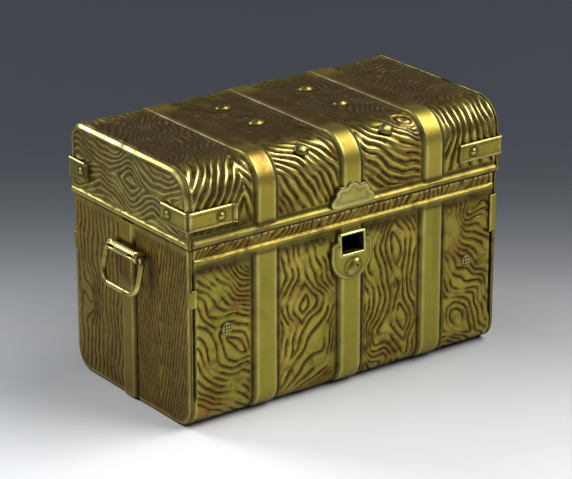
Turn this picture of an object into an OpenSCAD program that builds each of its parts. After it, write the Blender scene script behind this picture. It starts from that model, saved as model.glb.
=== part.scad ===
// Needle case in the shape of a small travelling trunk, pressed from thin brass sheet.
// Millimetres. +X runs along the length, the front faces -Y, and +Z is up.
// The origin is the centre of the flat underside.

/* [Case] */
// Length over the lid's end plates
case_l = 60.6; // [56:0.1:80]
// Depth of the lid, front to back
case_d = 32.5; // [30:0.5:44]
// Height to the top of the lid's straps
case_h = 42; // [40:1:56]
// Height of the lid's lower rim, on the hinge axis
rim_z = 29.75; // [28.5:0.05:32]
// Thickness of the brass sheet
sheet = 0.5; // [0.3:0.05:0.6]
// How far the lid stands out over the base on every side
lid_step = 0.2; // [0.2:0.1:0.6]
// Dark gap between the closed lid and the base
rim_gap = 0.25; // [0.15:0.05:0.4]
// Radius of the base's lower edges
base_corner_r = 3.6; // [2:0.1:6]
// Radius of the lid's front upper edge
lid_front_r = 5; // [3:0.1:8]
// Radius of the lid's back upper edge
lid_back_r = 3; // [2:0.1:8]
// Offset of the straps, the lock and the studs towards the right end
middle_x = 0.3; // [-1:0.1:1]

/* [Straps and beads] */
// Spacing of the three straps
strap_pitch = 16.25; // [14:0.05:18]
// Width of the straps on the base
base_strap_w = 3.9; // [2:0.1:5]
// Width of the straps on the lid
lid_strap_w = 3.4; // [2:0.1:5]
// How far a strap stands out from the sheet
strap_h = 0.35; // [0.2:0.05:0.6]
// Width of the strap on each base end plate
end_strap_w = 2.9; // [2:0.1:4]
// Offset of the end straps towards the back
end_strap_y = 0.55; // [-2:0.05:2]
// Radius of the half-round rim beads
bead_r = 0.5; // [0.5:0.05:0.8]
// How far a bead stands out from the sheet
bead_h = 0.4; // [0.2:0.05:0.5]
// Height of the lower bead on the base
base_bead_z = 27.3; // [26:0.1:28]

/* [Hinge] */
// Length of the hinge
hinge_l = 22; // [16:1:40]
// Number of knuckles, base and lid in turn
knuckles = 5; // [3:2:7]
// Outer radius of a knuckle
barrel_r = 1; // [0.8:0.05:1.2]
// Radius of the hinge pin
pin_r = 0.42; // [0.3:0.01:0.5]
// Radial clearance of the lid's knuckles on the pin
pin_clearance = 0.05; // [0.02:0.01:0.1]
// Thickness of the hinge leaves
leaf_t = 0.4; // [0.3:0.05:0.4]
// Height of each leaf from the hinge axis
leaf_reach = 5.2; // [4:0.1:6]

/* [Handles] */
// Height of the handle pivots
handle_z = 25; // [22:0.1:25]
// Offset of the handles towards the back
handle_y = -0.4; // [-2:0.1:2]
// Length of a handle's rolled bracket
bracket_l = 8.2; // [6:0.1:8.4]
// Outer radius of the rolled bracket
bracket_r = 0.9; // [0.8:0.05:1]
// Radius of the bail wire
wire_r = 0.475; // [0.4:0.025:0.5]
// Distance between the centres of a bail's legs
bail_w = 9.8; // [9.5:0.1:11]
// Drop from the pivot to the centre of the bail's lower bar
bail_drop = 6; // [5.5:0.1:8]
// Radius of the bail's lower corners
bail_corner_r = 2.2; // [1:0.1:3]
// How far the bail leans out from the wall
bail_tilt = 12; // [0:1:20]

/* [Corner brackets] */
// Height of the strip
corner_h = 3.1; // [2:0.1:4]
// Height of the strip's centre line
corner_z = 34.2; // [33.5:0.1:36]
// Thickness of the strip
corner_t = 0.4; // [0.3:0.05:0.5]
// Length along the front and the back
corner_leg = 9; // [7.5:0.1:10]
// Length along the end, at the front corners
corner_side_front = 7; // [6.5:0.1:10]
// Length along the end, at the back corners
corner_side_back = 5.9; // [5.5:0.1:10]

/* [Fittings] */
// Width of the lock plate
lock_w = 8; // [6:0.1:9]
// Lowest point of the lock plate
lock_z = 18.1; // [16:0.1:19]
// Thickness of the lock plate
lock_t = 0.75; // [0.5:0.05:1]
// Width of the lock's window
window_w = 4.2; // [3:0.1:5]
// Lower edge of the lock's window
window_z = 22.7; // [22.5:0.1:23]
// Height of the lock's window
window_h = 3; // [2:0.1:3]
// Thickness of the thumb plate
thumb_t = 0.5; // [0.4:0.05:0.8]
// Distance of the lid studs from the middle strap
stud_x = 8.2; // [7:0.1:9]
// Turn of the shoulder studs from upright
shoulder_turn = 38; // [20:1:60]

/* [Needle tray] */
// Thickness of the tray's sheet
tray_t = 0.4; // [0.3:0.05:0.5]
// Height of the tray's ends and dividers
tray_h = 21.5; // [15:0.5:22]
// Distance between dividers
divider_pitch = 7.55; // [7:0.05:7.6]
// Height to which the inner collar stands above the base
collar_up = 1.35; // [1:0.05:2]

/* [Hidden] */
$fn = 48;
eps = 0.01;
past = 1;                                    // how far a cutter runs past a surface
base_l = case_l - 2 * lid_step;
base_d = case_d - 2 * lid_step;
base_top = rim_z - rim_gap;
lid_top = case_h - strap_h;
inner_l = base_l - 2 * sheet;                // clear length inside the base
inner_d = base_d - 2 * sheet;                // clear depth inside the base
strap_xs = [middle_x - strap_pitch, middle_x, middle_x + strap_pitch];
lid_bead_z = rim_z + bead_r + 0.1;
corner_out = case_l / 2 + corner_t;          // outer face of the corner strips' side legs
shank_r = 0.35;
rivet_r = 0.65;
rivet_h = 0.4;
leaf_clear = 1.45;                           // leaf edge to hinge axis beside the other leaf's knuckles
leaf_web = 0.45;
knuckle_pitch = hinge_l / knuckles;
knuckle_gap = 0.2;
hinge_y = case_d / 2 + 1.2;
bore_r = wire_r;                             // bracket bore, a running fit on the bail's thinner pivots
pivot_r = wire_r - 0.055;
axis_x = base_l / 2 + 1.2;                   // handle pivot axis
prong_y = bracket_l / 2 - 0.55;
prong_w = 0.9;
prong_t = 0.4;
prong_z = handle_z + 0.4;
rosette_x = 23.6;
rosette_z = 15.5;
boss_x = middle_x + 0.3;
boss_z = 20.2;
thumb_z = 30.8;
window_top = window_z + window_h;
tray_clearance = 0.1;
tray_in_l = inner_l - 2 * (tray_clearance + tray_t);     // clear length between the tray's ends
tray_floor_w = inner_d - 2 * (base_corner_r - sheet);

brass = [0.62, 0.56, 0.26];
dark_brass = [0.40, 0.33, 0.16];
pale_brass = [0.78, 0.72, 0.42];

// ---- placing ----

// Extrudes a (y, z) outline along X
module along_x(length) {
    rotate([90, 0, 90]) linear_extrude(height = length, center = true) children();
}

// Extrudes an (x, z) outline from one y to another
module along_y(y0, y1) {
    translate([0, y1, 0]) rotate([90, 0, 0]) linear_extrude(height = y1 - y0) children();
}

// Turns a part made standing on +Z so that it stands on the front face (side -1) or the back
module on_face_y(side, x, z, face) {
    translate([x, side * face, z]) rotate([-side * 90, 0, 0]) children();
}

module on_face_x(side, y, z, face) {
    translate([side * face, y, z]) rotate([0, side * 90, 0]) children();
}

// ---- outlines ----

// End view of the base, round at its lower edges, grown or shrunk all round
module base_outline(grow, top) {
    mid_y = base_d / 2 - base_corner_r;
    r = base_corner_r + grow;
    translate([-base_d / 2 - grow, base_corner_r]) square([base_d + 2 * grow, top - base_corner_r]);
    translate([-mid_y, -grow]) square([2 * mid_y, base_corner_r + grow]);
    for (side = [-1, 1]) translate([side * mid_y, base_corner_r]) circle(r);
}

// End view of the lid, round at its upper edges, grown or shrunk all round
module lid_outline(grow, bottom) {
    front_y = -case_d / 2 + lid_front_r;
    back_y = case_d / 2 - lid_back_r;
    translate([-case_d / 2 - grow, bottom])
        square([case_d / 2 + grow, lid_top - lid_front_r - bottom]);
    translate([0, bottom]) square([case_d / 2 + grow, lid_top - lid_back_r - bottom]);
    translate([front_y, bottom]) square([back_y - front_y, lid_top + grow - bottom]);
    translate([front_y, lid_top - lid_front_r]) circle(lid_front_r + grow);
    translate([back_y, lid_top - lid_back_r]) circle(lid_back_r + grow);
}

// Shield with square shoulders and a round lower edge
module lock_outline() {
    r = lock_w / 2;
    neck_w = window_w + 1.2;
    mid_z = lock_z + r;
    translate([middle_x, mid_z]) {
        circle(r);
        translate([-r, 0]) square([lock_w, 2.4]);
        translate([-neck_w / 2, 0]) square([neck_w, window_top + 0.4 - mid_z]);
    }
}

// Small scalloped plate with five lobes over a straight lower edge
module thumb_outline() {
    side_lobe = [3.25, 0.95];
    shoulder_lobe = [2.1, 2.25];
    translate([middle_x, thumb_z]) {
        translate([-4.2, 0]) square([8.4, side_lobe[1]]);
        translate([-2.4, 0]) square([4.8, 2.5]);
        translate([0, 2.75]) circle(1.3);
        for (side = [-1, 1]) {
            translate([side * side_lobe[0], side_lobe[1]]) circle(0.95);
            translate([side * shoulder_lobe[0], shoulder_lobe[1]]) circle(1.15);
        }
    }
}

// ---- fasteners ----

// Round head with a shank below it, standing on z = 0
module rivet(head_r, head_h, shank_l) {
    ball_r = (head_r * head_r + head_h * head_h) / (2 * head_h);
    intersection() {
        translate([0, 0, head_h - ball_r]) sphere(ball_r);
        cylinder(r = head_r + past, h = head_h + past);
    }
    translate([0, 0, -shank_l]) cylinder(r = shank_r, h = shank_l + head_h / 4);
}

// Hole for a shank, from z = 0 down
module shank_hole(depth) {
    translate([0, 0, -depth - past]) cylinder(r = shank_r, h = depth + 2 * past);
}

// Places a child at each of the eight corner rivets, with its sheet thickness below it
module at_corner_rivets() {
    for (side = [-1, 1]) {
        on_face_y(-1, side * 24.5, corner_z, case_d / 2 + corner_t) children();
        on_face_y(1, side * 24.5, corner_z, case_d / 2 + corner_t) children();
        on_face_x(side, -11.4, corner_z, corner_out) children();
        on_face_x(side, 12.6, corner_z, corner_out) children();
    }
}

// Places a child at each of the six lid studs: two on the flat top and one on the front shoulder
module at_lid_studs() {
    for (x = [middle_x - stud_x, middle_x + stud_x]) {
        for (y = [-2.6, 6.5]) translate([x, y, lid_top]) children();
        translate([x, -case_d / 2 + lid_front_r, lid_top - lid_front_r])
            rotate([shoulder_turn, 0, 0]) translate([0, 0, lid_front_r]) children();
    }
}

module at_rosettes() {
    for (side = [-1, 1]) on_face_y(-1, middle_x + side * rosette_x, rosette_z, base_d / 2) children();
}

// ---- base ----

module rear_leaf_zone() {
    translate([-hinge_l / 2, base_d / 2, rim_z - leaf_reach])
        cube([hinge_l, past + strap_h, leaf_reach]);
}

// Opening through the lock plate and the wall behind it
module lock_window() {
    translate([middle_x - window_w / 2, -base_d / 2 - 2 * past, window_z])
        cube([window_w, 3 * past, window_h]);
}

module base_wrap() {
    wrap_l = inner_l;
    color(brass) difference() {
        union() {
            along_x(wrap_l) base_outline(0, base_top);
            for (x = strap_xs) translate([x, 0, 0])
                along_x(base_strap_w) base_outline(strap_h, base_top);
            for (side = [-1, 1]) translate([0, side * (base_d / 2 + bead_h - bead_r), base_bead_z])
                rotate([0, 90, 0]) cylinder(r = bead_r, h = wrap_l, center = true);
        }
        along_x(wrap_l + past) base_outline(-sheet, base_top + past);
        translate([-case_l / 2, -case_d, -case_d]) cube([case_l, 2 * case_d, case_d]);
        along_y(-base_d / 2 - past, -base_d / 2) lock_outline();
        lock_window();
        on_face_y(-1, boss_x, boss_z, base_d / 2) shank_hole(sheet);
        at_rosettes() shank_hole(sheet);
        rear_leaf_zone();
    }
}

// End plate on the +X side, with its strap, its folded tabs and the slots for the handle's prongs
module base_end(tab_z, tab_h, tab_l) {
    color(brass) difference() {
        union() {
            translate([base_l / 2 - sheet / 2, 0, 0]) along_x(sheet) base_outline(0, base_top);
            translate([base_l / 2 - eps, end_strap_y - end_strap_w / 2, 0])
                cube([strap_h + eps, end_strap_w, base_top]);
            for (side = [-1, 1])
                translate([base_l / 2 - tab_l / 2, side * (base_d / 2 + strap_h / 2), tab_z])
                    cube([tab_l, strap_h, tab_h], center = true);
        }
        translate([base_l / 2, end_strap_y - end_strap_w, handle_z - 0.7])
            cube([past, 2 * end_strap_w, 1.65]);
        for (side = [-1, 1])
            translate([base_l / 2 - past, handle_y + side * prong_y - prong_w / 2, prong_z])
                cube([2 * past, prong_w, prong_t]);
    }
}

module base_left_end() {
    mirror([1, 0, 0]) base_end(22.4, 5, 1.8);
}

module base_right_end() {
    base_end(22.7, 6.3, 1.6);
}

// Band inside the base's mouth, which the lid closes over
module inner_collar() {
    collar_t = 0.35;
    bottom = 26;
    height = base_top + collar_up - bottom;
    color(pale_brass) difference() {
        translate([-inner_l / 2, -inner_d / 2, bottom]) cube([inner_l, inner_d, height]);
        translate([-inner_l / 2 + collar_t, -inner_d / 2 + collar_t, bottom - past])
            cube([inner_l - 2 * collar_t, inner_d - 2 * collar_t, height + 2 * past]);
    }
}

// ---- needle tray ----

module needle_tray() {
    end_x = (tray_in_l + tray_t) / 2;
    color(pale_brass) {
        translate([-end_x - tray_t / 2, -tray_floor_w / 2, sheet])
            cube([tray_in_l + 2 * tray_t, tray_floor_w, tray_t]);
        for (side = [-1, 1]) translate([side * end_x, 0, 0]) along_x(tray_t)
            base_outline(-sheet - tray_clearance, sheet + tray_h);
    }
}

// Upright sheet between two rows of packets
module divider(y) {
    color(pale_brass) translate([-tray_in_l / 2, y - tray_t / 2, sheet + tray_t])
        cube([tray_in_l, tray_t, tray_h - tray_t]);
}

module front_divider() {
    divider(-divider_pitch);
}

module middle_divider() {
    divider(0);
}

module back_divider() {
    divider(divider_pitch);
}

// ---- front fittings ----

module lock_plate() {
    color(brass) difference() {
        along_y(-base_d / 2 - lock_t, -base_d / 2) lock_outline();
        lock_window();
        on_face_y(-1, boss_x, boss_z, base_d / 2) shank_hole(sheet);
    }
}

// Boss of the sham lock: a round head with a small hole in it, riveted through plate and wall
module lock_rivet() {
    hole_r = 0.22;
    color(brass) on_face_y(-1, boss_x, boss_z, base_d / 2 + lock_t) difference() {
        rivet(1.15, 0.45, lock_t + sheet);
        translate([0.2, 0.1, 0.15]) cylinder(r = hole_r, h = past);
    }
}

// Round nail heads with cross-cut faces
module rosette_nails() {
    cut = 0.16;
    color(pale_brass) at_rosettes() difference() {
        union() {
            cylinder(r = 1, h = 0.35);
            translate([0, 0, -sheet]) cylinder(r = shank_r, h = sheet + 0.1);
        }
        for (turn = [0, 90], at = [-0.4, 0, 0.4]) rotate([0, 0, turn])
            translate([-2, at - cut / 2, 0.22]) cube([4, cut, past]);
    }
}

module thumb_plate() {
    color(brass) along_y(-case_d / 2 - thumb_t, -case_d / 2) thumb_outline();
}

// ---- handles ----

// Rolled bracket on the +X end plate: a slotted tube, a pad on the wall and two clenched prongs
module handle_bracket() {
    wall_x = base_l / 2;
    slot_l = 1.7;
    slot_h = 0.5;
    clench_h = 1.4;
    color(pale_brass) difference() {
        union() {
            translate([axis_x, handle_y, handle_z]) rotate([90, 0, 0])
                cylinder(r = bracket_r, h = bracket_l, center = true);
            translate([wall_x, handle_y - bracket_l / 2 + 0.5, handle_z - 0.55])
                cube([axis_x - wall_x - 0.3, bracket_l - 1, 1.1]);
            for (side = [-1, 1]) translate([0, handle_y + side * prong_y - prong_w / 2, 0]) {
                translate([wall_x - sheet - prong_t, 0, prong_z])
                    cube([axis_x - wall_x + sheet + prong_t - 0.2, prong_w, prong_t]);
                translate([wall_x - sheet - prong_t, 0, prong_z + prong_t - clench_h])
                    cube([prong_t, prong_w, clench_h]);
            }
        }
        translate([axis_x, handle_y, handle_z]) rotate([90, 0, 0])
            cylinder(r = bore_r, h = bracket_l + past, center = true);
        for (side = [-1, 1]) {
            slot_y = handle_y + side * (bracket_l / 2 - 1.4) - slot_l / 2;
            translate([axis_x, slot_y, handle_z - slot_h / 2]) cube([past, slot_l, slot_h]);
        }
    }
}

module left_handle_bracket() {
    mirror([1, 0, 0]) handle_bracket();
}

module right_handle_bracket() {
    handle_bracket();
}

// Wire bail with its pivots turned in, leaning out from the +X end
module bail() {
    leg_y = bail_w / 2;
    leg_low = -bail_drop + bail_corner_r;
    pivot_l = 2.2;
    color(pale_brass) translate([axis_x, handle_y, handle_z]) rotate([0, -bail_tilt, 0]) {
        for (side = [-1, 1]) mirror([0, side < 0 ? 1 : 0, 0]) {
            translate([0, leg_y, leg_low]) cylinder(r = wire_r, h = -leg_low + 0.55);
            translate([0, leg_y, 0]) rotate([90, 0, 0]) cylinder(r = pivot_r, h = pivot_l);
            translate([0, leg_y - bail_corner_r, leg_low]) rotate([0, 90, 0])
                rotate_extrude(angle = 90) translate([bail_corner_r, 0]) circle(wire_r);
        }
        translate([0, 0, -bail_drop]) rotate([90, 0, 0])
            cylinder(r = wire_r, h = bail_w - 2 * bail_corner_r, center = true);
    }
}

module left_bail() {
    mirror([1, 0, 0]) bail();
}

module right_bail() {
    bail();
}

// ---- hinge ----

// One leaf on the wall at face_y, below the axis (up = 0) or above it (up = 1).
// It carries the knuckles with an even (odd = 0) or odd (odd = 1) number along the pin.
module leaf(odd, up, face_y, bore) {
    web_z = barrel_r - 0.05 - leaf_web;
    knuckle_l = knuckle_pitch - knuckle_gap;
    difference() {
        translate([0, 0, rim_z]) mirror([0, 0, 1 - up]) {
            for (i = [odd : 2 : knuckles - 1])
                translate([i * knuckle_pitch + knuckle_gap / 2 - hinge_l / 2, 0, 0]) {
                    translate([0, hinge_y, 0]) rotate([0, 90, 0]) cylinder(r = barrel_r, h = knuckle_l);
                    translate([0, face_y, web_z]) cube([knuckle_l, hinge_y - face_y, leaf_web]);
                    translate([0, face_y, web_z]) cube([knuckle_l, leaf_t, leaf_clear]);
                }
            translate([-hinge_l / 2, face_y, leaf_clear])
                cube([hinge_l, leaf_t, leaf_reach - leaf_clear]);
        }
        translate([0, hinge_y, rim_z]) rotate([0, 90, 0])
            cylinder(r = bore, h = hinge_l + past, center = true);
    }
}

module base_hinge_leaf() {
    color(brass) leaf(0, 0, base_d / 2, pin_r);
}

module lid_hinge_leaf() {
    color(brass) leaf(1, 1, case_d / 2, pin_r + pin_clearance);
}

module hinge_pin() {
    head_h = 0.25;
    color(pale_brass) translate([0, hinge_y, rim_z]) rotate([0, 90, 0]) {
        cylinder(r = pin_r, h = hinge_l, center = true);
        for (side = [-1, 1]) translate([0, 0, side * (hinge_l + head_h) / 2])
            cylinder(r = pin_r + 0.25, h = head_h, center = true);
    }
}

// ---- lid ----

module lid_wrap() {
    wrap_l = case_l - 2 * sheet;
    color(dark_brass) difference() {
        union() {
            along_x(wrap_l) lid_outline(0, rim_z);
            for (x = strap_xs) translate([x, 0, 0]) along_x(lid_strap_w) lid_outline(strap_h, rim_z);
            for (side = [-1, 1]) translate([0, side * (case_d / 2 + bead_h - bead_r), lid_bead_z])
                rotate([0, 90, 0]) cylinder(r = bead_r, h = wrap_l, center = true);
        }
        along_x(wrap_l + past) lid_outline(-sheet, rim_z - past);
        along_y(-case_d / 2 - past, -case_d / 2) thumb_outline();
        at_corner_rivets() shank_hole(corner_t + sheet);
        at_lid_studs() shank_hole(sheet);
        translate([-hinge_l / 2, case_d / 2, rim_z - past])
            cube([hinge_l, past + strap_h, leaf_reach + past]);
    }
}

// End plate on the +X side, with the rim bead across its foot
module lid_end() {
    color(brass) difference() {
        union() {
            translate([case_l / 2 - sheet / 2, 0, 0]) along_x(sheet) lid_outline(0, rim_z);
            translate([case_l / 2 + bead_h - bead_r, 0, lid_bead_z]) rotate([90, 0, 0])
                cylinder(r = bead_r, h = case_d, center = true);
        }
        translate([0, -case_d, 0]) cube([case_l / 2 - sheet, 2 * case_d, case_h]);
        at_corner_rivets() shank_hole(corner_t + sheet);
    }
}

module lid_left_end() {
    mirror([1, 0, 0]) lid_end();
}

module lid_right_end() {
    lid_end();
}

// L-shaped strip round one upright edge of the lid
module corner_bracket(side_x, side_y, side_leg) {
    low = corner_z - corner_h / 2;
    color(brass) difference() {
        mirror([side_x < 0 ? 1 : 0, 0, 0]) mirror([0, side_y < 0 ? 1 : 0, 0]) {
            translate([corner_out - corner_leg, case_d / 2, low])
                cube([corner_leg, corner_t, corner_h]);
            translate([case_l / 2, case_d / 2 + corner_t - side_leg, low])
                cube([corner_t, side_leg, corner_h]);
        }
        at_corner_rivets() shank_hole(corner_t + sheet);
    }
}

module front_left_corner() {
    corner_bracket(-1, -1, corner_side_front);
}

module front_right_corner() {
    corner_bracket(1, -1, corner_side_front);
}

module back_left_corner() {
    corner_bracket(-1, 1, corner_side_back);
}

module back_right_corner() {
    corner_bracket(1, 1, corner_side_back);
}

module corner_rivets() {
    color(pale_brass) at_corner_rivets() rivet(rivet_r, rivet_h, corner_t + sheet);
}

module lid_studs() {
    color(pale_brass) at_lid_studs() rivet(1.1, 0.65, sheet);
}

base_wrap();
base_left_end();
base_right_end();
inner_collar();
needle_tray();
front_divider();
middle_divider();
back_divider();
lock_plate();
lock_rivet();
rosette_nails();
left_handle_bracket();
right_handle_bracket();
left_bail();
right_bail();
base_hinge_leaf();
hinge_pin();
lid_hinge_leaf();
lid_wrap();
lid_left_end();
lid_right_end();
thumb_plate();
front_left_corner();
front_right_corner();
back_left_corner();
back_right_corner();
corner_rivets();
lid_studs();
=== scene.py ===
"""Looks of the needle case: embossed brass sheets, their fittings, the studio and the camera.

Everything is worked out in millimetres in the CAD frame, and put() turns it into metres.
"""

import math

import bpy
import numpy as np
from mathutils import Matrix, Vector


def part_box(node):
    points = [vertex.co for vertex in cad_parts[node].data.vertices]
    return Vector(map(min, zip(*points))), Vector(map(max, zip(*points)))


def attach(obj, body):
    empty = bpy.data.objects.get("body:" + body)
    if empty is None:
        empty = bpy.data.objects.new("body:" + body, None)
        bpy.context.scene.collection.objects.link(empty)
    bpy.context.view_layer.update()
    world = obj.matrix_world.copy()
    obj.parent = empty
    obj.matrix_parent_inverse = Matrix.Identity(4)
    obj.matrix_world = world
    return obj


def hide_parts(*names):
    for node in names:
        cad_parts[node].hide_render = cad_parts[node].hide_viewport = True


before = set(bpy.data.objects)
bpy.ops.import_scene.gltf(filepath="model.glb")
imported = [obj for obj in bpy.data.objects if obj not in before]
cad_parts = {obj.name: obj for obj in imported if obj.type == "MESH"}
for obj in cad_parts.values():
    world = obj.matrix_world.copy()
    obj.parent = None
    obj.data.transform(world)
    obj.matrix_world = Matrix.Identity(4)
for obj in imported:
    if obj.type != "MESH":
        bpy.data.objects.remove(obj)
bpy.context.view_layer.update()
MM = 0.001


def box_mm(node):
    """Lowest and highest corner of a CAD node, in millimetres."""
    low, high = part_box(node)
    return np.array(low) / MM, np.array(high) / MM


# ---- sizes, from the CAD frame ----

SHEET = 0.5                                         # thickness of the brass sheet
STRAP_H = 0.35                                      # how far a strap stands out
BEAD_R, BEAD_H = 0.5, 0.4                           # radius and height of a half-round bead
BASE_HIGH = box_mm("base_wrap")[1]
LID_LOW, LID_HIGH = box_mm("lid_wrap")
BASE_X = BASE_HIGH[0]                               # half length of the base's wrap
BASE_TOP = BASE_HIGH[2]
BASE_Y = box_mm("base_left_end")[1][1] - STRAP_H    # outer face of the front and back walls
BASE_END_X = BASE_X + SHEET
LID_X = LID_HIGH[0]
LID_END_X = LID_X + SHEET
LID_Y = LID_HIGH[1] - BEAD_H
LID_TOP = LID_HIGH[2] - STRAP_H
RIM_Z = LID_LOW[2]
BASE_R = 3.6                                        # radius of the base's lower edges
LID_FRONT_R, LID_BACK_R = 5.0, 3.0                  # radii of the lid's upper edges
MIDDLE_X = 0.3                                      # the lock and the straps stand a little to the right
STRAP_XS = (MIDDLE_X - 16.25, MIDDLE_X, MIDDLE_X + 16.25)
BASE_STRAP, LID_STRAP, END_STRAP = 3.9, 3.4, 2.9    # strap widths
END_STRAP_Y = 0.55
BASE_BEAD_Z, LID_BEAD_Z = 27.3, 30.35
WINDOW_LOW, WINDOW_HIGH = 22.7, 25.7
WINDOW_X = MIDDLE_X - 2.1, MIDDLE_X + 2.1


# ---- camera ----

def direction(azimuth, elevation):
    """Unit vector from the object towards a place seen at these angles, in degrees."""
    a, e = math.radians(azimuth), math.radians(elevation)
    return np.array([math.sin(a) * math.cos(e), -math.cos(a) * math.cos(e), math.sin(e)])


def aim(obj, target, way, distance):
    """Puts obj at a distance from target, in millimetres, looking back at it."""
    obj.location = (np.array(target) + way * distance) * MM
    obj.rotation_mode = "QUATERNION"
    obj.rotation_quaternion = Vector(-way).to_track_quat("-Z", "Y")


CAMERA_TURN, CAMERA_RISE = -36.354, 21.106
camera = bpy.data.objects.new("camera", bpy.data.cameras.new("camera"))
bpy.context.scene.collection.objects.link(camera)
camera.data.sensor_width = 36
camera.data.lens = 171.6
camera.data.clip_start = 0.01
camera.data.clip_end = 20
aim(camera, (-0.48, -0.25, 19.85), direction(CAMERA_TURN, CAMERA_RISE), 437.4)
bpy.context.scene.camera = camera


# ---- meshes ----

def soft(distance, width):
    """0 on the negative side, 1 on the positive side, smooth across a band of this width."""
    t = np.clip(distance / width + 0.5, 0, 1)
    return t * t * (3 - 2 * t)


def bump(distance, width):
    """1 at 0, falling to 0 over about this width."""
    return np.exp(-(distance / width) ** 2)


def lines(*spans):
    """Grid lines from spans (start, end, about how far apart)."""
    parts = [np.linspace(a, b, max(1, round(abs(b - a) / gap)) + 1)[:-1] for a, b, gap in spans]
    return np.append(np.concatenate(parts), spans[-1][1])


def snapped(values, *stops):
    """The lines with the nearest one moved to each stop."""
    values = np.array(values, dtype=float)
    for stop in stops:
        values[np.argmin(abs(values - stop))] = stop
    return values


def put(name, points, faces, slot, body, node=None, marks=(), flat=()):
    """Makes a piece from points in millimetres and arrays of triangles or quads."""
    mesh = bpy.data.meshes.new(name)
    corners = np.concatenate([f.ravel() for f in faces])
    sizes = np.concatenate([np.full(len(f), f.shape[1]) for f in faces])
    mesh.vertices.add(len(points))
    mesh.vertices.foreach_set("co", (np.asarray(points) * MM).astype(np.float32).ravel())
    mesh.loops.add(len(corners))
    mesh.loops.foreach_set("vertex_index", corners.astype(np.int32))
    mesh.polygons.add(len(sizes))
    mesh.polygons.foreach_set("loop_start", (np.cumsum(sizes) - sizes).astype(np.int32))
    smooth = np.concatenate([np.full(len(f), k not in flat) for k, f in enumerate(faces)])
    mesh.polygons.foreach_set("use_smooth", smooth)
    mesh.update(calc_edges=True)
    mesh.validate()
    for mark, values in dict(marks).items():
        mesh.attributes.new(mark, "FLOAT", "POINT").data.foreach_set("value", values.astype(np.float32))
    piece = bpy.data.objects.new(name, mesh)
    bpy.context.scene.collection.objects.link(piece)
    mesh.materials.append(MATERIALS[slot])
    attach(piece, body)
    if node:
        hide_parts(node)
    return piece


def quads(rows, columns, first=0, closed=False):
    """Quads of a grid of vertices stored row by row; closed joins the last column to the first."""
    i, j = np.mgrid[0:rows - 1, 0:columns - (0 if closed else 1)]
    k = (j + 1) % columns
    return np.stack([i * columns + j, (i + 1) * columns + j, (i + 1) * columns + k, i * columns + k],
                    axis=-1).reshape(-1, 4) + first


def zipped(a, at_a, b, at_b):
    """Triangles between two chains of vertices that run side by side."""
    faces = []
    i = j = 0
    while i < len(a) - 1 or j < len(b) - 1:
        if j == len(b) - 1 or (i < len(a) - 1 and at_a[i + 1] <= at_b[j + 1]):
            faces.append((a[i], a[i + 1], b[j]))
            i += 1
        else:
            faces.append((a[i], b[j + 1], b[j]))
            j += 1
    return np.array(faces)


def facing(points, faces, way):
    """The faces, turned over if they look away from this direction on average."""
    a, b, c = (points[faces[:, k]] for k in range(3))
    return faces if np.sum(np.cross(b - a, c - a) * np.asarray(way, dtype=float)) >= 0 else faces[:, ::-1]


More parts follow.
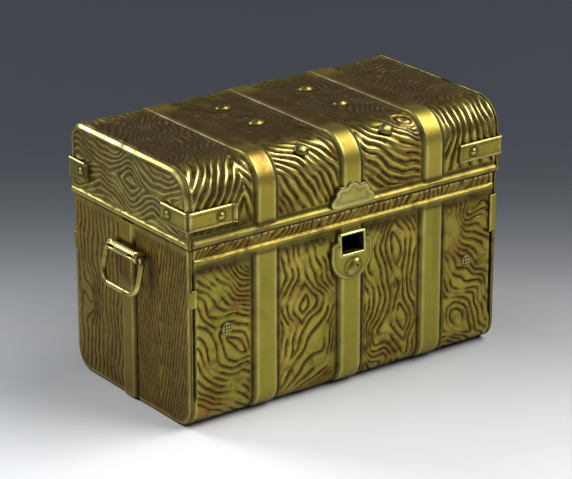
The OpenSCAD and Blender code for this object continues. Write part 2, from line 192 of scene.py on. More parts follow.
def pressed_sheet(name, slot, body, node, us, vs, coarse_us, coarse_vs, place, relief, hole=None,
                  thickness=SHEET):
    """A closed sheet: a fine outer face with relief, a plain inner face, and the edges between them.

    place(u, v) gives points and outward normals, relief(u, v) gives heights and shading marks, and
    hole is (u from, u to, v from, v to), on grid lines of both faces.
    """
    u, v = np.meshgrid(us, vs, indexing="ij")
    at, normal = place(u, v)
    height, marks = relief(u, v)
    outer = at + normal * height[..., None]
    cu, cv = np.meshgrid(coarse_us, coarse_vs, indexing="ij")
    inner_at, inner_normal = place(cu, cv)
    inner = inner_at - inner_normal * thickness
    first = outer.shape[0] * outer.shape[1]
    points = np.concatenate([outer.reshape(-1, 3), inner.reshape(-1, 3)])
    index = np.arange(first).reshape(outer.shape[:2])
    inner_index = first + np.arange(len(points) - first).reshape(inner.shape[:2])

    def cells(full, a, b):
        grid = quads(*full.shape, first=full[0, 0])
        if hole:
            mid_a, mid_b = (a[1:] + a[:-1]) / 2, (b[1:] + b[:-1]) / 2
            inside = (((mid_a > hole[0]) & (mid_a < hole[1]))[:, None]
                      & ((mid_b > hole[2]) & (mid_b < hole[3]))[None, :])
            grid = grid[~inside.ravel()]
        return grid

    top, under = cells(index, us, vs), cells(inner_index, coarse_us, coarse_vs)
    first_way = np.cross(outer[1, 0] - outer[0, 0], outer[0, 1] - outer[0, 0])
    if first_way @ normal[0, 0] < 0:
        top = top[:, ::-1]
    else:
        under = under[:, ::-1]
    rims = []

    def rim(fine, at_fine, coarse, at_coarse, way):
        rims.append(facing(points, zipped(fine, at_fine, coarse, at_coarse), way))

    rim(index[0], vs, inner_index[0], coarse_vs, at[0, 0] - at[1, 0])
    rim(index[-1], vs, inner_index[-1], coarse_vs, at[-1, 0] - at[-2, 0])
    rim(index[:, 0], us, inner_index[:, 0], coarse_us, at[0, 0] - at[0, 1])
    rim(index[:, -1], us, inner_index[:, -1], coarse_us, at[0, -1] - at[0, -2])
    if hole:
        fine = [*np.searchsorted(us, hole[:2]), *np.searchsorted(vs, hole[2:])]
        rough = [*np.searchsorted(coarse_us, hole[:2]), *np.searchsorted(coarse_vs, hole[2:])]
        a = slice(fine[0], fine[1] + 1), slice(fine[2], fine[3] + 1)
        b = slice(rough[0], rough[1] + 1), slice(rough[2], rough[3] + 1)
        du = at[fine[1], fine[2]] - at[fine[0], fine[2]]
        dv = at[fine[0], fine[3]] - at[fine[0], fine[2]]
        for k, way in ((0, du), (1, -du)):
            rim(index[fine[k], a[1]], vs[a[1]], inner_index[rough[k], b[1]], coarse_vs[b[1]], way)
        for k, way in ((2, dv), (3, -dv)):
            rim(index[a[0], fine[k]], us[a[0]], inner_index[b[0], rough[k]], coarse_us[b[0]], way)
    unmarked = np.zeros(len(points) - first)
    spread = {mark: np.append(values.ravel(), unmarked) for mark, values in marks.items()}
    faces = [top, under, *rims]
    return put(name, points, faces, slot, body, node, spread, flat=range(2, len(faces)))


# ---- wood grain pressed into the sheets ----

def waves(u, v, seed, size):
    """A smooth uneven field of about -1 to 1, from five sine waves."""
    total = np.zeros_like(u, dtype=float)
    for i in range(5):
        turn = seed * 1.7 + i * 2.4
        k = 2 * math.pi / (size * (0.7 + 0.19 * i))
        total += np.sin(k * (u * math.cos(turn) + v * math.sin(turn)) + seed * 5.1 + i * 1.9)
    return total / 3.2


def turned(u, v, at, lean):
    """How far each point lies along and across an axis through at that leans by lean degrees."""
    a = math.radians(lean)
    du, dv = u - at[0], v - at[1]
    return du * math.cos(a) + dv * math.sin(a), -du * math.sin(a) + dv * math.cos(a)


def grain_count(u, v, at=(0, 0), lean=0, pitch=1.1, bend=0, pinch=0, fold=0, chevron=0, eyes=(), rise=2.5,
                knots=(), zigzag=(0, 4), wobble=0.3, seed=1, bare=(), warp=0.35, least=0.3):
    """How many grain lines lie between a spine through at and each point: a line runs where it is whole.

    The lines follow the spine, which leans by lean degrees and may bend. fold mirrors them about it,
    eyes (place along the spine, half length) open it, and knots (u, v, along, across, turn, lift) push
    the lines aside.
    """
    u, v = u + warp * waves(u, v, seed + 3, 5), v + warp * waves(u, v, seed + 6, 5)
    p, q = turned(u, v, at, lean)
    q = (q + bend * p ** 2) / (1 + pinch * p ** 2)
    if fold:
        q = np.sqrt(q ** 2 + 0.02) + chevron * p
    f = q / pitch + 0.35
    if eyes:
        f = f + rise * (1 - sum(bump(p - c, s) for c, s in eyes))
    f = f + zigzag[0] * np.sin(2 * math.pi * p / zigzag[1] + 1.4 * np.sin(0.8 * q))
    f = f + wobble * waves(u, v, seed, 9)
    for ku, kv, along, across, turn, lift in knots:
        kp, kq = turned(u, v, (ku, kv), turn)
        f = f + lift * np.exp(-(kp / along) ** 2 - (kq / across) ** 2)
    return f


def grain(u, v, field):
    """The count of lines, how fast it climbs per millimetre, and how strongly the lines show."""
    e = 0.02
    f = grain_count(u, v, **field)
    rate = np.hypot(grain_count(u + e, v, **field) - f, grain_count(u, v + e, **field) - f) / e + 1e-3
    shown = np.clip(1.6 + 1.9 * waves(u, v, field["seed"] + 20, 5), field.get("least", 0.3), 1)
    for bu, bv, ru, rv in field.get("bare", ()):
        shown = shown * (1 - np.exp(-(((u - bu) / ru) ** 2 + ((v - bv) / rv) ** 2) ** 2))
    return f, rate, shown


# The dark marks also carry painted shade, and the rubbed marks also carry painted highlights.
MARKS = ("count", "shown", "grime_and_shade", "wear_and_highlight", "tone", "plain", "broad", "copper")


def ridges(count):
    """1 on the crests halfway between grain lines."""
    return soft(abs(count - np.round(count)) - 0.37, 0.16)


class Relief:
    """Collects the heights and shading marks of one pressed face."""

    def __init__(self, u, v):
        self.u, self.v = u, v
        self.height = np.zeros_like(u, dtype=float)
        self.marks = {k: np.zeros_like(u, dtype=float) for k in MARKS}
        self.marks["rate"] = np.ones_like(u, dtype=float)

    def grain(self, where, mask, field, depth, width):
        """Presses grain lines into the vertices where says, as strongly as mask says."""
        f, rate, shown = grain(self.u[where], self.v[where], field)
        shown = shown * mask[where]
        self.height[where] -= depth * shown * bump(abs(f - np.round(f)) / rate, width)
        self.marks["count"][where] = f
        self.marks["rate"][where] = rate
        self.marks["shown"][where] = shown

    def dent(self, amount, depth):
        """A dark hollow: amount is 0 to 1 at each vertex."""
        self.height -= depth * amount
        self.mark("grime_and_shade", amount)

    def mark(self, name, amount):
        """Raises a mark to at least this amount."""
        self.marks[name] = np.maximum(self.marks[name], amount)


FRONT_GRAIN = [
    dict(at=(-22.4, 13.2), lean=-40, pitch=1.35, fold=1, eyes=[(0.8, 3.6)], rise=2.0, zigzag=(0.12, 5.5),
         wobble=0.35, seed=1, knots=[(-17.2, 27.0, 5.5, 6.5, 0, 5.0), (-28.0, 4.0, 4.0, 2.0, -30, 1.6)],
         bare=[(-22.0, 6.0, 1.8, 1.5), (-24.5, 22.0, 2.0, 1.2)]),
    dict(at=(-8.4, 15.3), lean=84, pitch=1.3, fold=1, bend=-0.03, eyes=[(0.8, 2.9)], rise=2.2, wobble=0.3,
         seed=2, knots=[(-4.6, 6.0, 5.0, 2.6, 78, -2.4)], bare=[(-5.0, 24.0, 1.4, 1.2)]),
    dict(at=(10.2, 15.0), lean=-84, pitch=1.15, fold=1, eyes=[(-5.6, 5.6), (6.2, 4.2)], rise=2.6,
         wobble=0.25, seed=3, knots=[(5.2, 5.5, 4.6, 1.7, 76, -2.0)]),
    dict(at=(22.3, 6.2), lean=-48, pitch=1.25, fold=1, eyes=[(0, 2.6)], rise=1.8, zigzag=(0.22, 4.6),
         wobble=0.4, seed=4, knots=[(25.0, 24.0, 3.5, 2.5, 60, 2.2)], bare=[(20.6, 21.0, 2.4, 3.8)]),
]
LID_GRAIN = [
    dict(at=(-20.0, 11.5), lean=90, pitch=1.5, fold=1, chevron=0.57, wobble=0.3, seed=5, warp=0.2,
         least=0.75),
    dict(at=(-7.4, 16.8), lean=-58, pitch=1.2, fold=1, eyes=[(-0.5, 3.4)], rise=2.3, wobble=0.35, seed=6,
         warp=0.25, least=0.65),
    dict(at=(7.6, 8), lean=-36, pitch=1.3, bend=-0.03, wobble=0.35, seed=7, warp=0.3, least=0.6,
         knots=[(12.4, 12.0, 2.2, 1.2, -50, 2.8)]),
    dict(at=(23.8, 10.5), lean=90, pitch=1.1, pinch=0.015, wobble=0.2, seed=8, warp=0.25, least=0.7),
]
TOP_GRAIN = [
    dict(at=(-24.0, 26), lean=64, pitch=0.9, bend=0.012, wobble=0.9, seed=21, least=0.8),
    dict(at=(-8.0, 27), lean=118, pitch=0.85, fold=1, eyes=[(-1.0, 3.2)], rise=2.2, wobble=0.5,
         seed=22, least=0.8),
    dict(at=(8.2, 29), lean=104, pitch=0.85, bend=-0.02, wobble=0.8, seed=23, least=0.8,
         knots=[(10.0, 24.0, 2.4, 1.4, 60, 2.4)]),
    dict(at=(24.0, 30), lean=20, pitch=0.95, bend=0.02, zigzag=(0.18, 5.0), wobble=0.8, seed=24, least=0.8),
]
RIM_GRAIN = dict(at=(0, 28), lean=52, pitch=0.95, wobble=0.9, seed=12)
LID_END_GRAIN = dict(at=(-0.65, 36.3), lean=0, pitch=0.98, fold=1, eyes=[(0, 3.6), (-15, 3.5), (15, 3.5)],
                     rise=2.4, wobble=0.35, seed=9)
BASE_END_GRAIN = [
    dict(at=(-8.0, 14), lean=90, pitch=0.75, fold=1, chevron=-0.2, wobble=0.2, seed=10, warp=0.12,
         least=0.85),
    dict(at=(8, 14), lean=90, pitch=1.15, wobble=0.35, seed=11, warp=0.2, least=0.7,
         knots=[(11.2, 13.5, 3.6, 1.8, 90, -3.0)]),
]


# ---- materials ----

class Nodes:
    """A material's node tree, built by short calls."""

    def __init__(self, name):
        self.material = bpy.data.materials.new(name)
        self.material.use_nodes = True
        self.tree = self.material.node_tree
        self.shader = self.tree.nodes["Principled BSDF"]
        where = self.add("ShaderNodeTexCoord")
        self.place = self.add("ShaderNodeVectorMath", {0: where.outputs["Object"], 3: 1 / MM},
                              operation="SCALE").outputs[0]

    def add(self, kind, inputs=(), **settings):
        """A new node with these inputs and settings."""
        node = self.tree.nodes.new(kind)
        for key, value in settings.items():
            setattr(node, key, value)
        for key, value in dict(inputs).items():
            self.set(node.inputs[key], value)
        return node

    def set(self, socket, value):
        """Links a socket, or gives it a plain value."""
        if isinstance(value, bpy.types.NodeSocket):
            self.tree.links.new(value, socket)
        else:
            socket.default_value = value

    def mark(self, name):
        """A shading mark stored on the vertices."""
        return self.add("ShaderNodeAttribute", attribute_name=name).outputs["Fac"]

    def math(self, operation, a, b=0.0, c=0.0):
        return self.add("ShaderNodeMath", {0: a, 1: b, 2: c}, operation=operation).outputs[0]

    def times(self, a, b):
        return self.math("MULTIPLY", a, b)

    def noise(self, size, detail=3.0, stretch=(1, 1, 1), rough=0.55, off=0.0):
        """Noise with features about size millimetres across."""
        at = self.add("ShaderNodeMapping", {"Vector": self.place, "Scale": stretch,
                                            "Location": (off, off * 0.7, -off)}).outputs[0]
        return self.add("ShaderNodeTexNoise", {"Vector": at, "Scale": 1 / size, "Detail": detail,
                                               "Roughness": rough}).outputs["Fac"]

    def between(self, value, low, high, out_low=0.0, out_high=1.0):
        """Eases from out_low to out_high as the value goes from low to high."""
        return self.add("ShaderNodeMapRange", {"Value": value, "From Min": low, "From Max": high,
                                               "To Min": out_low, "To Max": out_high},
                        interpolation_type="SMOOTHSTEP").outputs["Result"]

    def blend(self, amount, a, b):
        """Colour a where amount is 0 and b where it is 1."""
        node = self.add("ShaderNodeMix", data_type="RGBA")
        self.set(node.inputs["Factor"], amount)
        self.set(node.inputs[6], a if isinstance(a, bpy.types.NodeSocket) else (*a, 1))
        self.set(node.inputs[7], b if isinstance(b, bpy.types.NodeSocket) else (*b, 1))
        return node.outputs[2]

    def weigh(self, amount, a, b):
        """Number a where amount is 0 and b where it is 1."""
        return self.add("ShaderNodeMix", {"Factor": amount, "A": a, "B": b}, data_type="FLOAT").outputs[0]

    def occlusion(self, reach):
        """1 in a crevice narrower than about reach millimetres, 0 in the open."""
        node = self.add("ShaderNodeAmbientOcclusion", {"Distance": reach * MM}, samples=6)
        return self.math("SUBTRACT", 1.0, node.outputs["AO"])


OLIVE = (0.275, 0.245, 0.037)
YELLOW = (0.435, 0.35, 0.058)
PALE = (0.66, 0.58, 0.25)
COPPER = (0.33, 0.13, 0.045)
BROWN = (0.15, 0.072, 0.014)
# Colour of grime, also used for painted shade.
DARK_GRIME_AND_SHADE = (0.016, 0.009, 0.003)
GROOVE_DIRT = 0.93                                  # how much dirt fills a groove


def brass(name, light, deep, brown=0.0, rough=0.34, groove_w=0.2, spots=0.35):
    """Aged brass: light ridges, grime in the grooves, grime and painted shade in crevices, painted shade
    beside grooves, rubbed edges and painted highlights, brown and copper stains.
    """
    n = Nodes(name)
    large, middle, fine = n.noise(9, 4), n.noise(2.2, 4, off=7), n.noise(0.35, 2, off=3)
    plain = n.mark("plain")
    cloud = n.times(n.between(large, 0.35, 0.65), n.between(plain, 0, 1, 1, 0.4))
    metal = n.blend(cloud, light, deep)
    blotch = n.times(n.between(middle, 0.48, 0.72, 0, 0.75), n.math("SUBTRACT", 1.0, plain))
    metal = n.blend(blotch, metal, BROWN)
    stain = n.times(n.between(n.noise(5, 5, off=11), 0.54, 0.68), spots)
    stain = n.times(stain, n.between(plain, 0, 1, 1, 0.35))
    patch = n.times(n.mark("copper"), n.between(n.noise(1.6, 4, off=31), 0.35, 0.6))
    metal = n.blend(n.math("MAXIMUM", stain, patch), metal, COPPER)
    tone = n.math("ADD", n.mark("tone"), brown)
    uneven = n.times(tone, n.between(n.noise(4, 5, off=17), 0.2, 0.7, 0.6, 1))
    metal = n.blend(uneven, metal, BROWN)
    distance = n.math("DIVIDE", n.math("PINGPONG", n.mark("count"), 0.5), n.mark("rate"))
    distance = n.math("ADD", distance, n.between(n.noise(0.9, 3, off=5), 0.2, 0.8, -0.06, 0.1))
    reach = n.between(n.mark("broad"), 0, 1, groove_w, groove_w * 2.3)
    pressed = n.times(n.mark("shown"), n.between(n.noise(1.6, 2, off=13), 0.3, 0.6, 0.75, 1))
    groove = n.times(n.between(distance, 0.03, reach, 1, 0), pressed)
    # A brown halo beside each groove: painted shade on the groove's slopes.
    halo = n.times(n.between(distance, reach, 0.5, 0.68, 0), n.mark("shown"))
    metal = n.blend(halo, metal, BROWN)
    # Ambient occlusion darkens narrow crevices: painted shade, which also stands for grime there.
    crevice = n.between(n.occlusion(1.0), 0.18, 0.7)
    smear = n.times(n.between(n.noise(2.8, 6, rough=0.7, off=41), 0.52, 0.7),
                   n.between(plain, 0, 1, 0.6, 0.15))
    crevice = n.math("MAXIMUM", crevice, smear)
    grime_and_shade = n.math("MAXIMUM", n.mark("grime_and_shade"), crevice)
    darkened_hollows = n.times(grime_and_shade, n.between(middle, 0.1, 0.6, 0.75, 1))
    # This darkening takes in real grime in grooves and hollows, and painted shade in crevices, under the
    # bead and beside the bail.
    dirt_and_shade = n.math("MAXIMUM", n.times(groove, GROOVE_DIRT), darkened_hollows)
    # Lightens rubbed places, and also painted highlights on beads, crests and edges.
    worn_and_highlit = n.times(n.mark("wear_and_highlight"), n.between(middle, 0.3, 0.7, 1, 0.5))
    metal = n.blend(worn_and_highlit, metal, PALE)
    n.set(n.shader.inputs["Base Color"], n.blend(dirt_and_shade, metal, DARK_GRIME_AND_SHADE))
    n.set(n.shader.inputs["Metallic"], n.weigh(dirt_and_shade, 1.0, 0.25))
    n.set(n.shader.inputs["Specular IOR Level"], n.weigh(dirt_and_shade, 0.5, 0.0))
    uneven_rough = n.between(fine, 0.3, 0.7, rough - 0.05, rough + 0.08)
    uneven_rough = n.weigh(n.between(large, 0.35, 0.7), uneven_rough, rough + 0.1)
    dulled = n.weigh(uneven, uneven_rough, rough + 0.1)
    dulled = n.math("ADD", dulled, n.times(plain, 0.07))
    polished = n.weigh(worn_and_highlit, dulled, rough - 0.1)
    n.set(n.shader.inputs["Roughness"], n.weigh(dirt_and_shade, polished, 0.75))
    scratches = n.noise(0.5, 3, stretch=(1, 1, 6), off=23)
    height = n.math("ADD", n.times(scratches, 0.4), n.times(n.noise(1.3, 3), 0.9))
    bumped = n.add("ShaderNodeBump", {"Height": height, "Strength": 0.35, "Distance": 0.05 * MM})
    n.set(n.shader.inputs["Normal"], bumped.outputs[0])
    return n.material


MATERIALS = {
    "aged_brass": brass("aged_brass", OLIVE, YELLOW),
    "dark_brass": brass("dark_brass", YELLOW, OLIVE, brown=0.1, rough=0.32, groove_w=0.24),
    "polished_brass": brass("polished_brass", OLIVE, YELLOW, rough=0.28, spots=0.12),
    "inner_brass": brass("inner_brass", YELLOW, OLIVE, rough=0.36, spots=0.2),
}


# ---- base and lid walls ----

def end_profile(half_y, front_r, back_r, rim, sign, rise):
    """Place function of a sheet wrapped over an end profile: u along X, v along the profile.

    v runs up (sign 1) or down (-1) the front wall from its rim, round the corner, across, and back to
    the rim of the back wall. rise is how far the flat part lies from the rim.
    """
    quarter = math.pi / 2
    stops = np.cumsum([0, rise - front_r, quarter * front_r, 2 * half_y - front_r - back_r,
                       quarter * back_r, rise - back_r])

    def place(u, v):
        y, z, ny, nz = (np.zeros_like(v) for _ in range(4))
        part = np.clip(np.searchsorted(stops, v, side="right") - 1, 0, 4)
        t = v - stops[part]
        for k, side, r in ((0, -1, front_r), (4, 1, back_r)):
            m = part == k
            y[m] = side * half_y
            z[m] = t[m] if k == 0 else rise - back_r - t[m]
            ny[m] = side
        for k, side, r in ((1, -1, front_r), (3, 1, back_r)):
            m = part == k
            a = t[m] / r if k == 1 else quarter - t[m] / r
            y[m] = side * (half_y - r + r * np.cos(a))
            z[m] = rise - r + r * np.sin(a)
            ny[m] = side * np.cos(a)
            nz[m] = sign * np.sin(a)
        m = part == 2
        y[m] = -half_y + front_r + t[m]
        z[m] = rise
        nz[m] = sign
        return np.stack([u, y, rim + sign * z], -1), np.stack([np.zeros_like(u), ny, nz], -1)

    return place, stops


def bead(distance):
    """Height of a half-round bead at this distance from its middle."""
    lift = np.sqrt(np.clip(BEAD_R ** 2 - distance ** 2, 0, None)) - (BEAD_R - BEAD_H)
    return np.clip(lift, 0, None)


def strap_lines(half_length, strap_w, cell):
    """Grid lines along X, close together at the strap edges and wide on the straps."""
    spans = []
    at = -half_length
    for x in STRAP_XS:
        left, right = x - strap_w / 2, x + strap_w / 2
        spans += [(at, left - 0.3, cell), (left - 0.3, left + 0.3, 0.1), (left + 0.3, right - 0.3, 0.45),
                  (right - 0.3, right + 0.3, 0.1)]
        at = right + 0.3
    spans.append((at, half_length, cell))
    return lines(*spans)


def coarse(low, high, *stops):
    """A few grid lines for a plain inner face, with lines at the stops."""
    every = [low, *stops, high]
    return lines(*[(a, b, 4.0) for a, b in zip(every[:-1], every[1:])])


def strap_edges(u, strap_w):
    """Distance outside the nearest strap's edge; negative on the strap."""
    return np.min([abs(u - x) - strap_w / 2 for x in STRAP_XS], axis=0)


def panel_number(u):
    """0 to 3: which of the four panels between the straps a point is in."""
    return np.searchsorted(STRAP_XS, u)


base_place, BASE_STOPS = end_profile(BASE_Y, BASE_R, BASE_R, BASE_TOP, -1, BASE_TOP)
lid_place, LID_STOPS = end_profile(LID_Y, LID_FRONT_R, LID_BACK_R, RIM_Z, 1, LID_TOP - RIM_Z)


def seam(r, side, up, wide):
    """Presses the dark gap between a wrap and its end plate: side is the distance from the edge."""
    gap = soft(0.34 + 0.3 * wide - side, 0.14)
    r.height -= 0.32 * gap
    r.mark("grime_and_shade", gap * (0.75 + 0.25 * wide))
    r.mark("wear_and_highlight", 0.5 * bump(side - 0.62 - 0.3 * wide, 0.14) * soft(up, 1))


GRAIN_TOP, STRAP_TOP = 26.1, 26.85                  # where the base's grain panels and straps end
BEAD_FOOT, BAND_Z = 26.5, 27.85                     # groove under the bead, and grained band over it


def base_relief(u, v):
    """Relief of the base's wrap: grain panels, straps, the bead below the rim and the side seams."""
    back = v > BASE_STOPS[-1] / 2
    down = np.where(back, BASE_STOPS[-1] - v, v)
    z = BASE_TOP - down                                       # height, unrolled below the corner
    r = Relief(np.where(back, -u, u), z)
    edge = strap_edges(u, BASE_STRAP)
    side = BASE_X - abs(u)
    under = soft(z + 0.4, 2.4)
    panel = soft(edge - 0.9, 0.5) * soft(side - 0.75, 0.6) * soft(GRAIN_TOP - z, 0.7) * under
    for k, field in enumerate(FRONT_GRAIN):
        m = (panel_number(r.u) == k) & (z < 26.7) & (z > -2)
        r.grain(m, panel, field, depth=0.26, width=0.24)
    band = soft(z - BAND_Z, 0.15) * soft(side - 0.3, 0.3) * soft(BASE_TOP + 0.05 - z, 0.1)
    r.grain(z > 27.8, band, RIM_GRAIN, depth=0.16, width=0.3)
    r.mark("tone", 0.6 * band)
    dots = soft(np.sin(2 * math.pi * u / 0.75) + 0.2, 0.8) * soft(z - BASE_TOP + 0.3, 0.12)
    r.mark("wear_and_highlight", 0.9 * dots * (side > 0.6))
    r.height += 0.07 * waves(u, v, 31, 11) * panel
    gutter = bump(edge - 0.5, 0.42) * soft(z + 0.4, 2.4) * soft(26.6 - z, 0.8)
    r.dent(0.95 * gutter, 0.18)
    r.dent(0.7 * bump(z - BEAD_FOOT, 0.35), 0.1)
    # Painted shade under the bead.
    r.mark("grime_and_shade", 0.75 * bump(z - 26.0, 1.0) * soft(edge, 0.4))
    strap = soft(-edge, 0.28) * soft(STRAP_TOP - z, 0.3)
    crown = STRAP_H * strap * (1 - 0.1 * np.clip(1 + edge / 1.0, 0, 1) + 0.06 * waves(u, v, 35, 5))
    crown = crown * (0.3 + 0.7 * soft(z - 1.5, 5))
    r.height = np.where(strap > 0.02, np.maximum(r.height, np.minimum(crown, STRAP_H)), r.height)
    r.mark("wear_and_highlight", 0.5 * bump(edge + 0.22, 0.16) * soft(26.75 - z, 0.3) * under)
    r.mark("plain", strap)
    lift = bead(z - BASE_BEAD_Z) * (0.35 + 0.65 * soft(side - 1.1, 1.8))
    r.height = np.maximum(r.height, np.where(lift > 0, lift, -9))
    # Painted highlight along the bead's upper side.
    r.mark("wear_and_highlight", 0.15 * bump(z - BASE_BEAD_Z - 0.1, 0.22) * soft(side - 0.6, 1))
    r.mark("tone", 0.5 * bump(z - BASE_BEAD_Z, 0.6))
    wide = soft(z - 5, 1) * soft(20.5 - z, 1) + soft(z - 23, 0.4) * soft(25.5 - z, 0.4)
    seam(r, side, z, wide)
    for name in ("grime_and_shade", "wear_and_highlight", "shown", "plain"):
        r.marks[name] = r.marks[name] * soft(z + 1.2, 1.4)
    r.height *= soft(z + 1.2, 1.4)
    r.mark("tone", 0.4 * soft(2.5 - z, 5) + 0.25 * soft(panel_number(u) - 2.5, 1) * soft(z - 14, 6))
    r.mark("copper", 0.9 * np.exp(-((u + 27.5) / 3.0) ** 2 - ((z - 2.0) / 3.5) ** 2))
    return r.height, r.marks


TOP_START = 15.4                                    # where the lid's top grain begins, up the profile


def lid_relief(u, v):
    """Relief of the lid's wrap: like the base's, with flatter straps and finer grain over the top."""
    total = LID_STOPS[-1]
    back = v > total / 2
    up = np.where(back, total - v, v)
    on_top = up > TOP_START
    r = Relief(np.where(back & ~on_top, -u, u), np.where(on_top, v, up))
    edge = strap_edges(u, LID_STRAP)
    side = LID_X - abs(u)
    flat_top = soft(up - 15.5, 5)
    panel = soft(edge - 0.7, 0.5) * soft(side - 0.5, 0.6) * soft(up - 1.9, 0.5)
    for k in range(4):
        m = (panel_number(r.u) == k) & (up > 1.5)
        r.grain(m & ~on_top, panel * soft(16.0 - up, 2.4), LID_GRAIN[k], depth=0.3, width=0.36)
        r.grain(m & on_top, panel * soft(up - 15.0, 2.0), TOP_GRAIN[k], depth=0.3, width=0.3)
    r.height *= 1 - 0.5 * flat_top
    r.height += 0.07 * waves(u, v, 37, 12) * panel
    gutter = bump(edge - 0.4, 0.35) * soft(up - 1.6, 0.5)
    r.dent(0.9 * gutter, 0.16)
    r.dent(0.8 * bump(up - 1.55, 0.4), 0.12)
    strap = soft(-edge, 0.28) * soft(up - 1.15, 0.3)
    over_top = soft(v - LID_STOPS[2] + 0.5, 5) * soft(LID_STOPS[4] - v, 3)
    crown = STRAP_H * strap * (1 - 0.08 * np.clip(1 + edge / 0.9, 0, 1)) * (1 - 0.75 * over_top)
    r.height = np.where(strap > 0.02, np.maximum(r.height, crown), r.height)
    left_side = np.min([abs(u - x + LID_STRAP / 2) for x in STRAP_XS], axis=0)
    r.mark("wear_and_highlight", 0.5 * bump(edge + 0.2, 0.15) * soft(up - 1.4, 0.3) * (1 - flat_top))
    # Painted highlight along the left edges of the straps over the top.
    r.mark("wear_and_highlight", 0.9 * bump(left_side - 0.1, 0.16) * flat_top)
    r.mark("plain", strap)
    r.mark("tone", 0.15 * strap)
    r.mark("copper", np.exp(-((u - STRAP_XS[0] - 0.4) / 1.2) ** 2 - ((up - 11) / 3.0) ** 2))
    lift = bead(up - (LID_BEAD_Z - RIM_Z))
    r.height = np.maximum(r.height, np.where(lift > 0, lift, -9))
    # Painted highlight along the bead's upper side.
    r.mark("wear_and_highlight", 0.2 * bump(up - (LID_BEAD_Z - RIM_Z) - 0.1, 0.22))
    r.mark("tone", 0.25 * bump(up - (LID_BEAD_Z - RIM_Z), 0.6))
    crest = ridges(r.marks["count"]) * panel
    # Painted highlight on the ridge crests across the front shoulder, over their rubbing.
    r.mark("wear_and_highlight", 0.8 * bump(up - 10.5, 3.2) * crest)
    r.mark("wear_and_highlight", 0.7 * flat_top * crest)
    seam(r, side, up - 1.3, 0)
    r.mark("wear_and_highlight", 0.7 * bump(side - 0.45, 0.2) * soft(up - 5, 3) * (1 - flat_top))
    r.mark("tone", flat_top)
    # Painted shade over the straps on the top, apart from their lit left edges.
    r.mark("grime_and_shade", 0.7 * flat_top * soft(-edge - 0.2, 0.3) * soft(left_side - 0.5, 0.4))
    r.mark("broad", 0.5 * (1 - flat_top))
    low_left = np.exp(-((u + 24) / 9) ** 4) * bump(up - 2.4, 1.5)
    r.mark("grime_and_shade", 0.7 * low_left * soft(edge, 0.5))
    return r.height, r.marks


CELL = 0.2
base_us = snapped(strap_lines(BASE_X, BASE_STRAP, CELL), *WINDOW_X)
end_v = BASE_STOPS[-1]
base_vs = lines((0, 0.9, 0.15), (0.9, 2.7, 0.1), (2.7, BASE_STOPS[2], CELL),
                (BASE_STOPS[2], BASE_STOPS[3], 1.2), (BASE_STOPS[3], end_v - 2.7, 0.26),
                (end_v - 2.7, end_v - 0.9, 0.13), (end_v - 0.9, end_v, 0.2))
window_v = BASE_TOP - WINDOW_HIGH, BASE_TOP - WINDOW_LOW
base_vs = snapped(base_vs, *window_v)
pressed_sheet("base_shell", "aged_brass", "case", "base_wrap", base_us, base_vs,
              coarse(-BASE_X, BASE_X, *WINDOW_X),
              np.concatenate([coarse(0, BASE_STOPS[1], *window_v)[:-1],
                              lines((BASE_STOPS[1], BASE_STOPS[2], 1.0), (BASE_STOPS[2], BASE_STOPS[3], 5.0),
                                    (BASE_STOPS[3], BASE_STOPS[4], 1.0), (BASE_STOPS[4], end_v, 5.0))]),
              base_place, base_relief, hole=(*WINDOW_X, *window_v))
lid_end = LID_STOPS[-1]
lid_vs = lines((0, 0.3, 0.1), (0.3, 2.1, 0.1), (2.1, lid_end - 2.1, CELL),
               (lid_end - 2.1, lid_end - 0.3, 0.13), (lid_end - 0.3, lid_end, 0.15))
pressed_sheet("lid_shell", "dark_brass", "lid", "lid_wrap", strap_lines(LID_X, LID_STRAP, CELL), lid_vs,
              coarse(-LID_X, LID_X),
              lines((0, LID_STOPS[1], 3.0), (LID_STOPS[1], LID_STOPS[2], 1.0),
                    (LID_STOPS[2], LID_STOPS[3], 5.0), (LID_STOPS[3], LID_STOPS[4], 1.0),
                    (LID_STOPS[4], lid_end, 3.0)),
              lid_place, lid_relief)


# ---- end plates ----

def corner_radius(y, front_r, back_r):
    """Radius of the end plate's round corner on this side of the middle."""
    return np.where(y < 0, front_r, back_r)


def end_place(side, x, half_y, radii, flat_z, sign):
    """Place function of an end plate: u is y, v is z, squeezed into the round corners."""
    def place(u, v):
        r = corner_radius(u, *radii)
        past = np.clip(r - sign * (flat_z - v), 0, r)
        room = np.sqrt(np.clip(r ** 2 - past ** 2, 0, None)) / r
        inner = half_y - r
        over = np.clip(abs(u) - inner, 0, None)
        y = np.sign(u) * (np.minimum(abs(u), inner) + over * room)
        return (np.stack([np.full_like(u, side * x), y, v], -1),
                np.stack([np.full_like(u, side), np.zeros_like(u), np.zeros_like(u)], -1))
    return place


def outline_distance(y, z, half_y, radii, flat_z, sign):
    """Distance inside the rounded outline's sides and round edge (not its straight rim)."""
    r = corner_radius(y, *radii)
    past = r - sign * (flat_z - z)
    over = abs(y) - (half_y - r)
    ring = r - np.hypot(np.clip(over, 0, None), np.clip(past, 0, None))
    return np.where((over > 0) | (past > 0), ring, np.minimum(half_y - abs(y), r - past))


BASE_RADII = BASE_R, BASE_R
LID_RADII = LID_FRONT_R, LID_BACK_R


